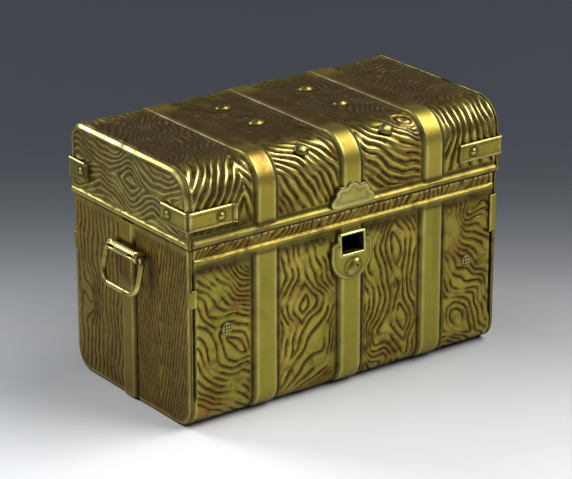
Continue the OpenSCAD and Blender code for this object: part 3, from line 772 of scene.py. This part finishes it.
def base_end_relief(side):
    """Place and relief of one of the base's end plates."""
    place = end_place(side, BASE_END_X, BASE_Y, BASE_RADII, 0, -1)

    def relief(u, v):
        y = place(u, v)[0][..., 1]
        r = Relief(y, v)
        inside = outline_distance(y, v, BASE_Y, BASE_RADII, 0, -1)
        edge = abs(y - END_STRAP_Y) - END_STRAP / 2
        front = y < END_STRAP_Y
        panel = soft(edge - 0.35, 0.5) * soft(inside - 0.7, 0.6) * soft(28.6 - v, 0.5)
        for k, field in enumerate(BASE_END_GRAIN):
            r.grain(front == (k == 0), panel * 0.95, field, depth=0.14, width=0.2)
        r.height += 0.06 * waves(y, v, 41 + side, 10) * panel
        r.dent(0.95 * bump(edge - 0.42, 0.36) * front * soft(27 - v, 2), 0.18)
        r.dent(0.55 * bump(edge - 0.18, 0.16) * ~front, 0.08)
        gap = soft(v - 24.3, 0.2) * soft(25.95 - v, 0.2)
        strap = soft(-edge, 0.25) * (1 - gap)
        r.height = np.where(strap > 0.02, np.maximum(r.height, STRAP_H * strap), r.height)
        r.mark("wear_and_highlight", 0.6 * bump(edge + 0.15, 0.12) * front * (1 - gap))
        r.mark("wear_and_highlight", 0.3 * bump(edge + 0.2, 0.15) * ~front * (1 - gap))
        r.mark("plain", np.maximum(strap, 0.4))
        r.height -= 0.22 * bump(inside, 0.3)
        r.mark("wear_and_highlight", 0.4 * bump(inside - 0.45, 0.25))
        r.mark("grime_and_shade", 0.8 * bump(inside, 0.12))
        behind_bail = np.exp(-((y - 0.2) / 4.2) ** 4 - ((v - 21.8) / 2.8) ** 4)
        r.mark("copper", 0.8 * behind_bail)
        r.mark("tone", np.maximum(0.8 * behind_bail, 0.3 * bump(v, 3.5) + 0.48))
        # Painted shadow of the bail's front leg on the end plate.
        bail_leg_shadow = np.exp(-((y + 5.6) / 0.7) ** 2 - ((v - 21.5) / 3.5) ** 4)
        r.mark("grime_and_shade", 0.6 * bail_leg_shadow)
        return r.height, r.marks

    return place, relief


def lid_end_relief(side):
    """Place and relief of one of the lid's end plates."""
    place = end_place(side, LID_END_X, LID_Y, LID_RADII, LID_TOP, 1)

    def relief(u, v):
        y = place(u, v)[0][..., 1]
        r = Relief(y, v)
        inside = outline_distance(y, v, LID_Y, LID_RADII, LID_TOP, 1)
        panel = soft(inside - 0.9, 0.6) * soft(v - 31.0, 0.5)
        r.grain(np.ones_like(y, dtype=bool), panel * 0.62, LID_END_GRAIN, depth=0.2, width=0.3)
        crest = ridges(r.marks["count"]) * panel
        r.height += 0.06 * waves(y, v, 43 + side, 9) * panel + 0.05 * crest
        r.mark("wear_and_highlight", 0.8 * crest)
        lift = bead(v - LID_BEAD_Z) * soft(inside - 0.2, 0.3)
        r.height = np.maximum(r.height, np.where(lift > 0, lift * 0.8, -9))
        # Painted highlight along the bead's upper side.
        r.mark("wear_and_highlight", 0.7 * bump(v - LID_BEAD_Z - 0.12, 0.3))
        roll = soft(v - 32, 2)
        notch = bump(y + 2, 0.35)
        r.height += (0.14 * bump(inside - 0.75, 0.3) - 0.42 * np.clip(1 - inside / 0.75, 0, 1) ** 2) * roll
        r.height -= 0.15 * notch * bump(inside, 0.5)
        # Painted highlight along the rolled top edge, stronger and wider towards the back, broken at the
        # notch.
        back = soft(y + 3, 5)
        r.mark("wear_and_highlight", (0.55 + 0.35 * back) * bump(inside - 0.4, 0.22 + 0.22 * back) * roll * (1 - notch))
        r.dent(0.75 * bump(inside - 1.1, 0.28) * soft(v - 31.5, 1), 0.08)
        r.mark("grime_and_shade", 0.8 * bump(inside, 0.1))
        r.mark("tone", 0.25 * soft(v - 37, 5))
        r.mark("broad", 0.45)
        return r.height, r.marks

    return place, relief


def corner_rows(corner_r, count):
    """Heights round a corner, closer together where the outline turns flat."""
    angles = np.linspace(math.radians(88), 0, count)
    return corner_r * (1 - np.sin(angles))


def corner_lines(half_y, front_r, back_r):
    """A few lines across a plain inner end face, closer together at its round corners."""
    return lines((-half_y, -half_y + front_r, 1.0), (-half_y + front_r, half_y - back_r, 5.0),
                 (half_y - back_r, half_y, 1.0))


LID_LINE = LID_TOP - LID_FRONT_R
for side, word in ((-1, "left"), (1, "right")):
    place, relief = base_end_relief(side)
    up = np.append(corner_rows(BASE_R, 30)[:-1], lines((BASE_R, BASE_TOP, CELL)))
    rough_up = np.append(corner_rows(BASE_R, 8)[:-1], lines((BASE_R, BASE_TOP, 5.0)))
    pressed_sheet(f"base_{word}_plate", "aged_brass", "case", f"base_{word}_end",
                  lines((-BASE_Y, BASE_Y, CELL)), up, corner_lines(BASE_Y, *BASE_RADII), rough_up,
                  place, relief)
    place, relief = lid_end_relief(side)
    up = np.append(lines((RIM_Z, LID_LINE, 0.16))[:-1], (LID_TOP - corner_rows(LID_FRONT_R, 44))[::-1])
    rough_up = np.append(lines((RIM_Z, LID_LINE, 4.0))[:-1], (LID_TOP - corner_rows(LID_FRONT_R, 8))[::-1])
    pressed_sheet(f"lid_{word}_plate", "aged_brass", "lid", f"lid_{word}_end",
                  lines((-LID_Y, LID_Y, 0.16)), up, corner_lines(LID_Y, *LID_RADII), rough_up,
                  place, relief)


# ---- shapes for the fittings ----

def reach(angles, circles=(), boxes=()):
    """How far circles (x, y, r) and boxes (half width, low, high) round the origin reach each way."""
    far = np.zeros_like(angles)
    across, along = np.cos(angles), np.sin(angles)
    for x, y, r in circles:
        b = across * x + along * y
        inside = b ** 2 - (x * x + y * y - r * r)
        far = np.maximum(far, np.where(inside > 0, b + np.sqrt(np.clip(inside, 0, None)), 0))
    for half, low, high in boxes:
        side = half / np.clip(abs(across), 1e-6, None)
        end = np.where(along > 0, high, -low) / np.clip(abs(along), 1e-6, None)
        far = np.maximum(far, np.minimum(side, end))
    return far


def ring(radii, angles, smooth=1):
    """Points of an outline given by radii, its corners rounded off a little."""
    for _ in range(smooth):
        radii = (np.roll(radii, 1) + 2 * radii + np.roll(radii, -1)) / 4
    return np.stack([radii * np.cos(angles), radii * np.sin(angles)], -1)


def plate(name, slot, body, node, origin, outline, relief, rings, inner=None, sunk=0.1):
    """A closed plate on the front, from its middle, or from a window's outline, to its own outline."""
    right, up = np.array([1.0, 0, 0]), np.array([0, 0, 1.0])
    out = np.cross(right, up)
    count = len(outline)
    start = np.zeros_like(outline) if inner is None else inner
    steps = np.linspace(1 / rings if inner is None else 0, 1, rings)
    part = (1 - (1 - steps) ** 1.5)[:, None, None]
    flat = start + (outline - start) * part
    edge = np.hypot(*(flat[:, :, None, :] - outline[None, None]).transpose(3, 0, 1, 2)).min(-1)
    height, marks = relief(flat[..., 0], flat[..., 1], edge)
    lift = np.append(height.ravel(), np.full(2 * count, -sunk))
    where = np.concatenate([flat.reshape(-1, 2), start, outline])
    last = (rings - 1) * count
    under = rings * count
    if inner is None:
        where = np.append(where, [[0, 0]], axis=0)
        lift = np.append(lift, relief(np.zeros(1), np.zeros(1), np.full(1, edge.max()))[0])
    points = np.array(origin) + where[:, :1] * right + where[:, 1:] * up + lift[:, None] * out
    j = np.arange(count)
    k = (j + 1) % count
    outward = outline @ np.stack([right, up])
    edge_faces = np.stack([last + j, last + k, under + count + k, under + count + j], -1)
    faces = [facing(points, quads(rings, count, closed=True), out), facing(points, edge_faces, outward)]
    if inner is None:
        tip = len(points) - 1
        faces.append(facing(points, np.stack([np.full(count, tip), j, k], -1), out))
        faces.append(facing(points, (under + count + j)[None], -out))
        keep = np.ones(len(points), dtype=bool)
        keep[under:under + count] = False
        renumber = np.cumsum(keep) - 1
        points, faces = points[keep], [renumber[f] for f in faces]
    else:
        keep = np.ones(len(points), dtype=bool)
        faces.append(facing(points, np.stack([j, k, under + k, under + j], -1), -outward))
        back_faces = np.stack([under + j, under + k, under + count + k, under + count + j], -1)
        faces.append(facing(points, back_faces, -out))
    spread = {mark: np.append(values.ravel(), np.zeros(len(keep) - values.size))[keep]
              for mark, values in marks.items()}
    return put(name, points, faces, slot, body, node, spread, flat=range(1, len(faces)))


def turned_heads(name, slot, body, node, profile, spots, count=28, stretch=None):
    """One mesh of turned heads: profile is (radius, height, wear, cavity) from the tip to the shank's end.

    spots are (place, outward direction); stretch(angle) widens a head to the sides.
    """
    profile = np.array(profile, dtype=float)
    angles = np.linspace(0, 2 * math.pi, count, endpoint=False)
    widen = np.ones(count) if stretch is None else stretch(angles)
    points, marks, faces, caps = [], [], [], []
    for place, out in spots:
        out = np.array(out, dtype=float)
        right = np.array([1.0, 0, 0]) if abs(out[0]) < 0.5 else np.array([0, 1.0, 0])
        up = np.cross(out, right)
        first = len(points) * len(profile) * count
        radial = np.cos(angles)[:, None] * right + np.sin(angles)[:, None] * up
        rows = (np.array(place) + profile[:, 0][:, None, None] * (widen[:, None] * radial)[None]
                + profile[:, 1][:, None, None] * out)
        points.append(rows.reshape(-1, 3))
        marks.append(np.repeat(profile[:, 2:], count, axis=0))
        faces.append(quads(len(profile), count, first, closed=True))
        caps.append(first + np.arange(count))
        caps.append(first + (len(profile) - 1) * count + np.arange(count)[::-1])
    points, marks = np.concatenate(points), np.concatenate(marks)
    return put(name, points, [np.concatenate(faces), np.array(caps)], slot, body, node,
               {"wear_and_highlight": marks[:, 0], "grime_and_shade": marks[:, 1]}, flat=(1,))


def sweep(name, slot, body, node, path, radii, normal, count=16, wear_and_highlight=0.6):
    """A wire along a flat path whose plane has this normal."""
    along = np.gradient(path, axis=0)
    along /= np.linalg.norm(along, axis=1)[:, None]
    normal = np.array(normal, dtype=float) / np.linalg.norm(normal)
    side = np.cross(along, normal)
    a = np.linspace(0, 2 * math.pi, count, endpoint=False)
    around = np.cos(a)[:, None] * side[:, None] + np.sin(a)[:, None] * normal
    rows = path[:, None] + radii[:, None, None] * around
    points = rows.reshape(-1, 3)
    body_faces = quads(len(path), count, closed=True)
    middle = np.repeat(path, count, axis=0)[body_faces[:, 0]]
    body_faces = facing(points, body_faces, points[body_faces[:, 0]] - middle)
    ends = np.array([np.arange(count), (len(path) - 1) * count + np.arange(count)])
    caps = [facing(points, ends[:1], -along[0]), facing(points, ends[1:], along[-1])]
    uneven = wear_and_highlight * (0.75 + 0.25 * np.sin(np.arange(len(path)) * 0.35))
    marks = {"wear_and_highlight": np.repeat(uneven, count)}
    return put(name, points, [body_faces, *caps], slot, body, node, marks, flat=(1, 2))


def arc(middle, start, end, radius, count=8):
    """Points (across, up) round a middle from one angle to another, in degrees."""
    a = np.radians(np.linspace(start, end, count))
    return np.stack([middle[0] + radius * np.cos(a), middle[1] + radius * np.sin(a)], -1)


# ---- front fittings ----

WALL = -BASE_Y
WINDOW_MID = (WINDOW_LOW + WINDOW_HIGH) / 2


def lock_relief(x, y, edge):
    """Shield with a raised border round its window and a dark ring round the boss."""
    window = np.hypot(np.clip(abs(x) - 2.1, 0, None), np.clip(abs(y) - 1.5, 0, None))
    height = 0.5 + 0.24 * (1 - np.exp(-edge / 0.8)) - 0.05 * bump(edge - 0.62, 0.16)
    border = bump(window - 0.26, 0.22)
    height = height + 0.2 * border - 0.1 * bump(edge, 0.12)
    boss = np.hypot(x - 0.15, y + 4.05)
    height = height - 0.1 * bump(boss - 1.6, 0.3)
    marks = {"wear_and_highlight": np.maximum(0.95 * border, 0.3 * bump(edge - 0.3, 0.2)),
             "grime_and_shade": np.maximum(0.35 * bump(edge - 0.65, 0.14), 0.55 * bump(boss - 1.62, 0.2)),
             "plain": np.ones_like(x)}
    marks["grime_and_shade"] = np.maximum(marks["grime_and_shade"] * (border < 0.4), 0.9 * bump(edge, 0.1) * (window > 0.7))
    return height, marks


ANGLES = np.linspace(0, 2 * math.pi, 160, endpoint=False)
shield = ring(reach(ANGLES, [(0, -2.1, 4.0)], [(2.7, -2.0, 1.9), (3.95, -2.1, 0.3)]), ANGLES, smooth=2)
window_ring = ring(reach(ANGLES, [], [(2.1, -1.5, 1.5)]), ANGLES, smooth=2)
plate("lock_shield", "polished_brass", "case", "lock_plate", (MIDDLE_X, WALL, WINDOW_MID),
      shield, lock_relief, inner=window_ring, rings=22)


def boss_relief(x, y, edge):
    """Rounded boss with a small hole off its middle."""
    hole = bump(np.hypot(x - 0.42, y - 0.28), 0.24)
    height = 0.1 + 0.62 * (1 - np.exp(-edge / 0.5)) - 0.35 * hole
    # The hole is painted dark: painted shade inside it.
    return height, {"wear_and_highlight": 0.35 * bump(edge - 0.5, 0.4) * (1 - hole), "grime_and_shade": np.clip(1.4 * hole, 0, 1),
                    "plain": np.ones_like(x)}


BOSS_LEAN = math.radians(48)
BOSS_LONG, BOSS_SHORT = 1.6, 1.1                    # half length and half width of the oval boss
oval = 1 / np.sqrt((np.cos(ANGLES - BOSS_LEAN) / BOSS_LONG) ** 2
                   + (np.sin(ANGLES - BOSS_LEAN) / BOSS_SHORT) ** 2)
plate("lock_boss", "polished_brass", "case", "lock_rivet", (MIDDLE_X + 0.3, WALL - 0.62, 20.2),
      ring(oval[::2], ANGLES[::2]), boss_relief, rings=18, sunk=0.5)


def thumb_relief(x, y, edge):
    """Nearly flat plate with a rounded, slightly grooved edge."""
    height = 0.48 + 0.16 * (1 - np.exp(-edge / 0.3)) - 0.06 * bump(edge - 0.8, 0.3)
    return height, {"wear_and_highlight": 0.3 + 0.4 * bump(edge - 0.3, 0.2), "grime_and_shade": 0.2 * bump(edge - 0.85, 0.25),
                    "plain": 0.7 * np.ones_like(x)}


lobes = [(0, 1.85, 1.3), (2.1, 1.35, 1.15), (-2.1, 1.35, 1.15), (3.25, 0.05, 0.95), (-3.25, 0.05, 0.95)]
cloud = ring(reach(ANGLES, lobes, [(4.1, -0.9, 0.05), (2.4, -0.95, 1.6)]), ANGLES, smooth=7)
plate("thumb_cloud", "polished_brass", "lid", "thumb_plate", (MIDDLE_X, -LID_Y, 31.35),
      cloud, thumb_relief, rings=18)


def rosette_relief(x, y, edge):
    """Round nail head crossed by three cuts each way."""
    cuts = [bump(along - at, 0.09) for along in (x, y) for at in (-0.46, 0, 0.46)]
    cut = np.max(cuts, axis=0) * soft(edge - 0.1, 0.1)
    height = 0.42 * np.sqrt(np.clip(1 - (1 - np.clip(edge, 0, 0.95)) ** 2, 0, 1)) + 0.06 - 0.15 * cut
    return height, {"grime_and_shade": np.maximum(cut, 0.8 * bump(edge, 0.08)), "wear_and_highlight": 0.75 * (1 - cut)}


disc = ring(np.ones(64), np.linspace(0, 2 * math.pi, 64, endpoint=False))
for side, word in ((-1, "left"), (1, "right")):
    plate(f"{word}_rosette", "polished_brass", "case", "rosette_nails", (MIDDLE_X + side * 23.6, WALL, 15.5),
          disc, rosette_relief, rings=22)


# ---- corner strips, rivets and studs ----

STRIP_T = 0.4
STRIP_Z, STRIP_H = 34.2, 3.1
RIVET_X, RIVET_FRONT_Y, RIVET_BACK_Y = 24.5, -11.4, 12.6
BEND = 0.55


def strip_place(side_x, side_y, leg):
    """Place of an L-shaped strip: u runs from the tip of the long leg round the corner, v is z."""
    corner_x, corner_y = LID_END_X + STRIP_T, LID_Y + STRIP_T
    first = leg - BEND
    turn = math.pi / 2 * BEND

    def place(u, v):
        a = np.clip((u - first) / BEND, 0, math.pi / 2)
        past = np.clip(u - first - turn, 0, None)
        x = corner_x - leg + np.minimum(u, first) + BEND * np.sin(a)
        y = corner_y - BEND + BEND * np.cos(a) - past
        normal = np.stack([side_x * np.sin(a), side_y * np.cos(a), np.zeros_like(u)], -1)
        return np.stack([side_x * x, side_y * y, v], -1), normal

    return place, first + turn / 2, turn


def corner_strip(word_x, word_y, leg, side_leg, tip_lip, end_lip):
    """One L-shaped strip; tip_lip and end_lip are how far its two ends are turned up."""
    side_x = -1 if word_x == "left" else 1
    side_y = -1 if word_y == "front" else 1
    place, corner, turn = strip_place(side_x, side_y, leg)
    total = corner + turn / 2 + side_leg - BEND
    rivet_y = abs(RIVET_FRONT_Y if side_y < 0 else RIVET_BACK_Y)
    rivets = [leg - (LID_END_X + STRIP_T - RIVET_X), corner + turn / 2 + LID_Y + STRIP_T - BEND - rivet_y]

    def relief(u, v):
        r = Relief(u, v)
        edge = STRIP_H / 2 - abs(v - STRIP_Z)
        tip, end = u, total - u
        r.height += 0.13 * bump(edge - 0.2, 0.2) - 0.12 * bump(edge, 0.12)
        r.mark("wear_and_highlight", 0.9 * bump(edge - 0.16, 0.15))
        r.dent(0.45 * bump(edge - 0.55, 0.15), 0.05)
        r.dent(0.9 * bump(u - corner, 0.2), 0.16)
        r.mark("wear_and_highlight", 0.6 * bump(abs(u - corner) - 0.55, 0.2))
        for at in rivets:
            around = np.hypot(u - at, v - STRIP_Z)
            r.dent(0.75 * bump(around - 0.85, 0.2), 0.08)
        for away, lip in ((tip, tip_lip), (end, end_lip)):
            r.height += lip * bump(away, 0.35)
            r.mark("wear_and_highlight", min(1, 3 * lip) * bump(away - 0.1, 0.22))
            r.mark("grime_and_shade", min(1, 2.5 * lip) * bump(away - 0.75, 0.22))
        r.mark("plain", 0.5)
        r.mark("tone", 0.3 * soft(edge - 0.5, 0.4))
        r.height += 0.05 * waves(u, v, 51 + side_x + 2 * side_y, 6)
        return r.height, r.marks

    low, high = STRIP_Z - STRIP_H / 2, STRIP_Z + STRIP_H / 2
    pressed_sheet(f"{word_y}_{word_x}_strip", "polished_brass", "lid", f"{word_y}_{word_x}_corner",
                  lines((0, total, 0.13)), lines((low, high, 0.1)),
                  lines((0, corner - turn / 2, 2.5), (corner - turn / 2, corner + turn / 2, 0.3),
                        (corner + turn / 2, total, 2.5)), lines((low, high, 1.6)),
                  place, relief, thickness=STRIP_T)


corner_strip("left", "front", 9.0, 7.0, 0.28, 0.06)
corner_strip("right", "front", 9.0, 7.0, 0.1, 0.06)
corner_strip("left", "back", 9.0, 5.9, 0.1, 0.4)
corner_strip("right", "back", 9.0, 5.9, 0.1, 0.4)

DOME = [(0.02, 1.0, 0.5, 0), (0.3, 0.93, 0.5, 0), (0.6, 0.72, 0.3, 0), (0.85, 0.4, 0.1, 0.1),
        (1.0, 0.04, 0, 0.8), (1.0, -0.05, 0, 1), (0.5, -0.05, 0, 1)]


def dome(radius, height, shank):
    """Profile of a domed head and the shank under it."""
    rows = [(radius * r, height * h, wear_and_highlight, grime_and_shade) for r, h, wear_and_highlight, grime_and_shade in DOME]
    return rows + [(0.35, -0.06, 0, 1), (0.35, -shank, 0, 0.5)]


rivets = [((sx * RIVET_X, sy * (LID_Y + STRIP_T), STRIP_Z), (0, sy, 0)) for sx in (-1, 1) for sy in (-1, 1)]
rivets += [((sx * (LID_END_X + STRIP_T), y, STRIP_Z), (sx, 0, 0)) for sx in (-1, 1)
           for y in (RIVET_FRONT_Y, RIVET_BACK_Y)]
turned_heads("strip_rivets", "polished_brass", "lid", "corner_rivets", dome(0.64, 0.42, 0.9), rivets)

STUD_X = 8.2                                        # distance of the studs from the middle
STUD_YS = -2.6, 6.5
SHOULDER_TURN = math.radians(38)
shoulder_way = np.array([0, -math.sin(SHOULDER_TURN), math.cos(SHOULDER_TURN)])
shoulder = np.array([0, -LID_Y + LID_FRONT_R, LID_TOP - LID_FRONT_R]) + LID_FRONT_R * shoulder_way
studs = []
for x in (MIDDLE_X - STUD_X, MIDDLE_X + STUD_X):
    studs += [((x, y, LID_TOP), (0, 0, 1)) for y in STUD_YS]
    studs.append(((x, shoulder[1], shoulder[2]), shoulder_way))
turned_heads("domed_studs", "polished_brass", "lid", "lid_studs", dome(1.08, 0.62, 0.5), studs, count=40,
             stretch=lambda a: 1 + 0.3 * abs(np.cos(a)) ** 6)


# ---- handles ----

HANDLE_Y, HANDLE_Z = -0.4, 25.0
AXIS_X = BASE_END_X + 1.2
BRACKET_R, BRACKET_L = 0.9, 8.2
BAIL_R, BAIL_W, BAIL_DROP, BAIL_BEND = 0.475, 9.8, 6.0, 2.2


def bracket_place(side):
    """Place on the bracket's roll: u runs along its axis, v is the angle round it."""
    def place(u, v):
        out = np.stack([side * np.cos(v), np.zeros_like(u), np.sin(v)], -1)
        middle = np.stack([np.full_like(u, side * AXIS_X), HANDLE_Y + u, np.full_like(u, HANDLE_Z)], -1)
        return middle + BRACKET_R * out, out
    return place


def bracket_relief(u, v):
    """Rolled strip with two slots."""
    r = Relief(u, v)
    tip = BRACKET_L / 2 - abs(u)
    along, across = abs(abs(u) - 2.7) - 0.85, abs(v - 0.3) * BRACKET_R - 0.2
    slot = np.maximum(along, across)
    r.height -= 0.3 * soft(-slot, 0.15)
    r.height += 0.1 * bump(slot - 0.12, 0.14)
    # The slots are painted dark: painted shade of the openings.
    r.mark("grime_and_shade", soft(-slot + 0.02, 0.12))
    r.mark("wear_and_highlight", np.where(slot > 0, 0.95 * bump(slot - 0.1, 0.15), 0))
    r.mark("wear_and_highlight", 0.7 * soft(slot - 0.1, 0.2))
    r.height -= 0.12 * bump(tip, 0.2)
    r.height += 0.07 * bump(tip - 0.4, 0.2)
    r.mark("grime_and_shade", 0.5 * bump(tip, 0.08))
    return r.height, r.marks


def bail_path(side):
    """The bail's centre line at rest, and the normal of its plane."""
    half = BAIL_W / 2
    top_bend = 0.9
    right = np.concatenate([[(half - 2.2, 0)], arc((half - top_bend, -top_bend), 90, 0, top_bend),
                            arc((half - BAIL_BEND, -BAIL_DROP + BAIL_BEND), 0, -90, BAIL_BEND, 12)])
    flat = np.concatenate([right, right[::-1] * (-1, 1)])
    steps = np.append(0, np.cumsum(np.hypot(*np.diff(flat, axis=0).T)))
    every = np.linspace(0, steps[-1], 110)
    flat = np.stack([np.interp(every, steps, flat[:, k]) for k in (0, 1)], -1)
    lean = math.radians(12)
    drop = np.array([-side * math.sin(lean), 0, math.cos(lean)])
    path = np.array([side * AXIS_X, HANDLE_Y, HANDLE_Z]) + flat[:, :1] * (0, 1, 0) + flat[:, 1:] * drop
    return path, np.cross((0, 1, 0), drop)


def prong_place(side, at_y):
    """A narrow strip from the top of the bracket, over to the wall and through it."""
    bends = np.array([(0.55, 0.7), (0.15, 0.98), (-0.5, 0.85), (-1.2, 0.6), (-2.05, 0.6)])
    steps = np.append(0, np.cumsum(np.hypot(*np.diff(bends, axis=0).T)))

    def place(u, v):
        x, z = (np.interp(v, steps, bends[:, k]) for k in (0, 1))
        dx = np.interp(v + 0.05, steps, bends[:, 0]) - np.interp(v - 0.05, steps, bends[:, 0])
        dz = np.interp(v + 0.05, steps, bends[:, 1]) - np.interp(v - 0.05, steps, bends[:, 1])
        size = np.hypot(dx, dz)
        point = np.stack([side * (AXIS_X + x), at_y + u, HANDLE_Z + z], -1)
        return point, np.stack([side * dz / size, np.zeros_like(u), -dx / size], -1)

    return place, steps[-1]


def plain_relief(u, v):
    """A flat, lightly rubbed face."""
    r = Relief(u, v)
    r.mark("wear_and_highlight", 0.5)
    return r.height, r.marks


for side, word in ((-1, "left"), (1, "right")):
    curl = math.radians(150)
    pressed_sheet(f"{word}_bracket_roll", "polished_brass", "case", f"{word}_handle_bracket",
                  lines((-BRACKET_L / 2, BRACKET_L / 2, 0.08)), lines((-curl, curl, 0.09)),
                  lines((-BRACKET_L / 2, BRACKET_L / 2, 2.0)), lines((-curl, curl, 0.3)),
                  bracket_place(side), bracket_relief, thickness=0.4)
    for k, at in enumerate((-1, 1)):
        place, length = prong_place(side, HANDLE_Y + at * (BRACKET_L / 2 - 0.55))
        pressed_sheet(f"{word}_bracket_prong_{k + 1}", "polished_brass", "case", f"{word}_handle_bracket",
                      lines((-0.45, 0.45, 0.15)), lines((0, length, 0.12)),
                      lines((-0.45, 0.45, 0.45)), lines((0, length, 0.3)), place, plain_relief,
                      thickness=0.3)
    path, normal = bail_path(side)
    near_end = np.minimum(np.arange(len(path)), np.arange(len(path))[::-1])
    radii = BAIL_R - 0.06 * (near_end < 8)
    sweep(f"{word}_bail_wire", "polished_brass", f"{word}_handle", f"{word}_bail", path, radii, normal)


# ---- folded tabs on the front and back edges ----

def tab_place(side_x, side_y, width):
    """u runs from the end plate round the corner onto the wall, v is z."""
    stand = STRAP_H
    first = 0.5
    bend = 0.45
    turn = math.pi / 2 * bend

    def place(u, v):
        a = np.clip((u - first) / bend, 0, math.pi / 2)
        past = np.clip(u - first - turn, 0, None)
        x = BASE_END_X + 0.02 - bend + bend * np.cos(a) - past
        y = BASE_Y + stand - bend - first + np.minimum(u, first) + bend * np.sin(a)
        normal = np.stack([side_x * np.cos(a), side_y * np.sin(a), np.zeros_like(u)], -1)
        return np.stack([side_x * x, side_y * y, v], -1), normal

    return place, first + turn + width - bend


def tab_relief(u, v):
    """A folded tab, thin at its edges."""
    r = Relief(u, v)
    end = u.max() - u
    edge = np.minimum(v - v.min(), v.max() - v)
    r.height += 0.08 * bump(end - 0.2, 0.2) - 0.08 * bump(np.minimum(end, edge), 0.12)
    r.mark("wear_and_highlight", 0.6 * bump(end - 0.2, 0.2))
    r.mark("tone", 0.25)
    r.mark("plain", 0.6)
    return r.height, r.marks


for side_x, word, low, high, width in ((-1, "left", 20.3, 23.1, 1.2), (1, "right", 19.55, 25.85, 1.6)):
    for side_y, face in ((-1, "front"), (1, "back")):
        place, length = tab_place(side_x, side_y, width)
        pressed_sheet(f"{word}_{face}_tab", "aged_brass", "case", f"base_{word}_end",
                      lines((0, length, 0.12)), lines((low, high, 0.15)),
                      lines((0, length, 0.5)), lines((low, high, 1.5)), place, tab_relief, thickness=0.3)


# ---- carried-over CAD nodes ----

def finish_node(node, slot, bevel):
    """Gives a CAD node its material and small bevels."""
    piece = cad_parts[node]
    piece.data.materials.clear()
    piece.data.materials.append(MATERIALS[slot])
    modifier = piece.modifiers.new("bevel", "BEVEL")
    modifier.width = bevel * MM
    modifier.segments = 2
    modifier.limit_method = "ANGLE"


for node in ("inner_collar", "needle_tray", "front_divider", "middle_divider", "back_divider"):
    finish_node(node, "inner_brass", 0.06)
for node in ("base_hinge_leaf", "hinge_pin", "lid_hinge_leaf"):
    finish_node(node, "polished_brass", 0.06)


# ---- studio ----

FADE_FAR, FADE_NEAR, FADE_POWER = -222, 50, 6.2     # where the painted shade darkens the floor along the view, and how fast
FAR_PAINTED_SHADE = (0.033, 0.038, 0.046)


def floor_material():
    """Pale paper, with painted shade that darkens it to grey-blue behind the object where the light falls
    off.
    """
    n = Nodes("floor")
    towards = n.add("ShaderNodeVectorMath", {0: n.place, 1: direction(CAMERA_TURN, 0)},
                    operation="DOT_PRODUCT").outputs["Value"]
    paper = n.blend(n.noise(0.6, 3), (0.92, 0.92, 0.92), (0.95, 0.95, 0.95))
    near = n.math("POWER", n.between(towards, FADE_FAR, FADE_NEAR), FADE_POWER)
    n.set(n.shader.inputs["Base Color"], n.blend(near, FAR_PAINTED_SHADE, paper))
    n.set(n.shader.inputs["Roughness"], 0.6)
    return n.material


def area_light(name, azimuth, elevation, distance, width, height, power, colour=(1, 1, 1)):
    """A rectangular light, placed and sized in millimetres, that looks at the object."""
    light = bpy.data.lights.new(name, "AREA")
    light.shape = "RECTANGLE"
    light.size = width * MM
    light.size_y = height * MM
    light.energy = power
    light.color = colour
    holder = bpy.data.objects.new(name, light)
    bpy.context.scene.collection.objects.link(holder)
    aim(holder, (0, 0, 20), direction(azimuth, elevation), distance)


span = 3000 * MM
floor_mesh = bpy.data.meshes.new("floor")
floor_corners = [(-span, -span, 0), (span, -span, 0), (span, span, 0), (-span, span, 0)]
floor_mesh.from_pydata(floor_corners, [], [(0, 1, 2, 3)])
floor_mesh.materials.append(floor_material())
floor = bpy.data.objects.new("floor", floor_mesh)
floor.location.z = -0.02 * MM
bpy.context.scene.collection.objects.link(floor)

area_light("key", 57, 49, 600, 560, 420, 4.2)
area_light("left_fill", -100, 35, 700, 400, 400, 1.0, (0.9, 0.95, 1))
area_light("back_left", -156, 34, 700, 320, 260, 2.6, (0.95, 0.97, 1))
world = bpy.data.worlds.new("studio")
world.use_nodes = True
world.node_tree.nodes["Background"].inputs["Color"].default_value = (0.085, 0.096, 0.112, 1)
world.node_tree.nodes["Background"].inputs["Strength"].default_value = 1.0
bpy.context.scene.world = world
bpy.context.scene.view_settings.view_transform = "Standard"
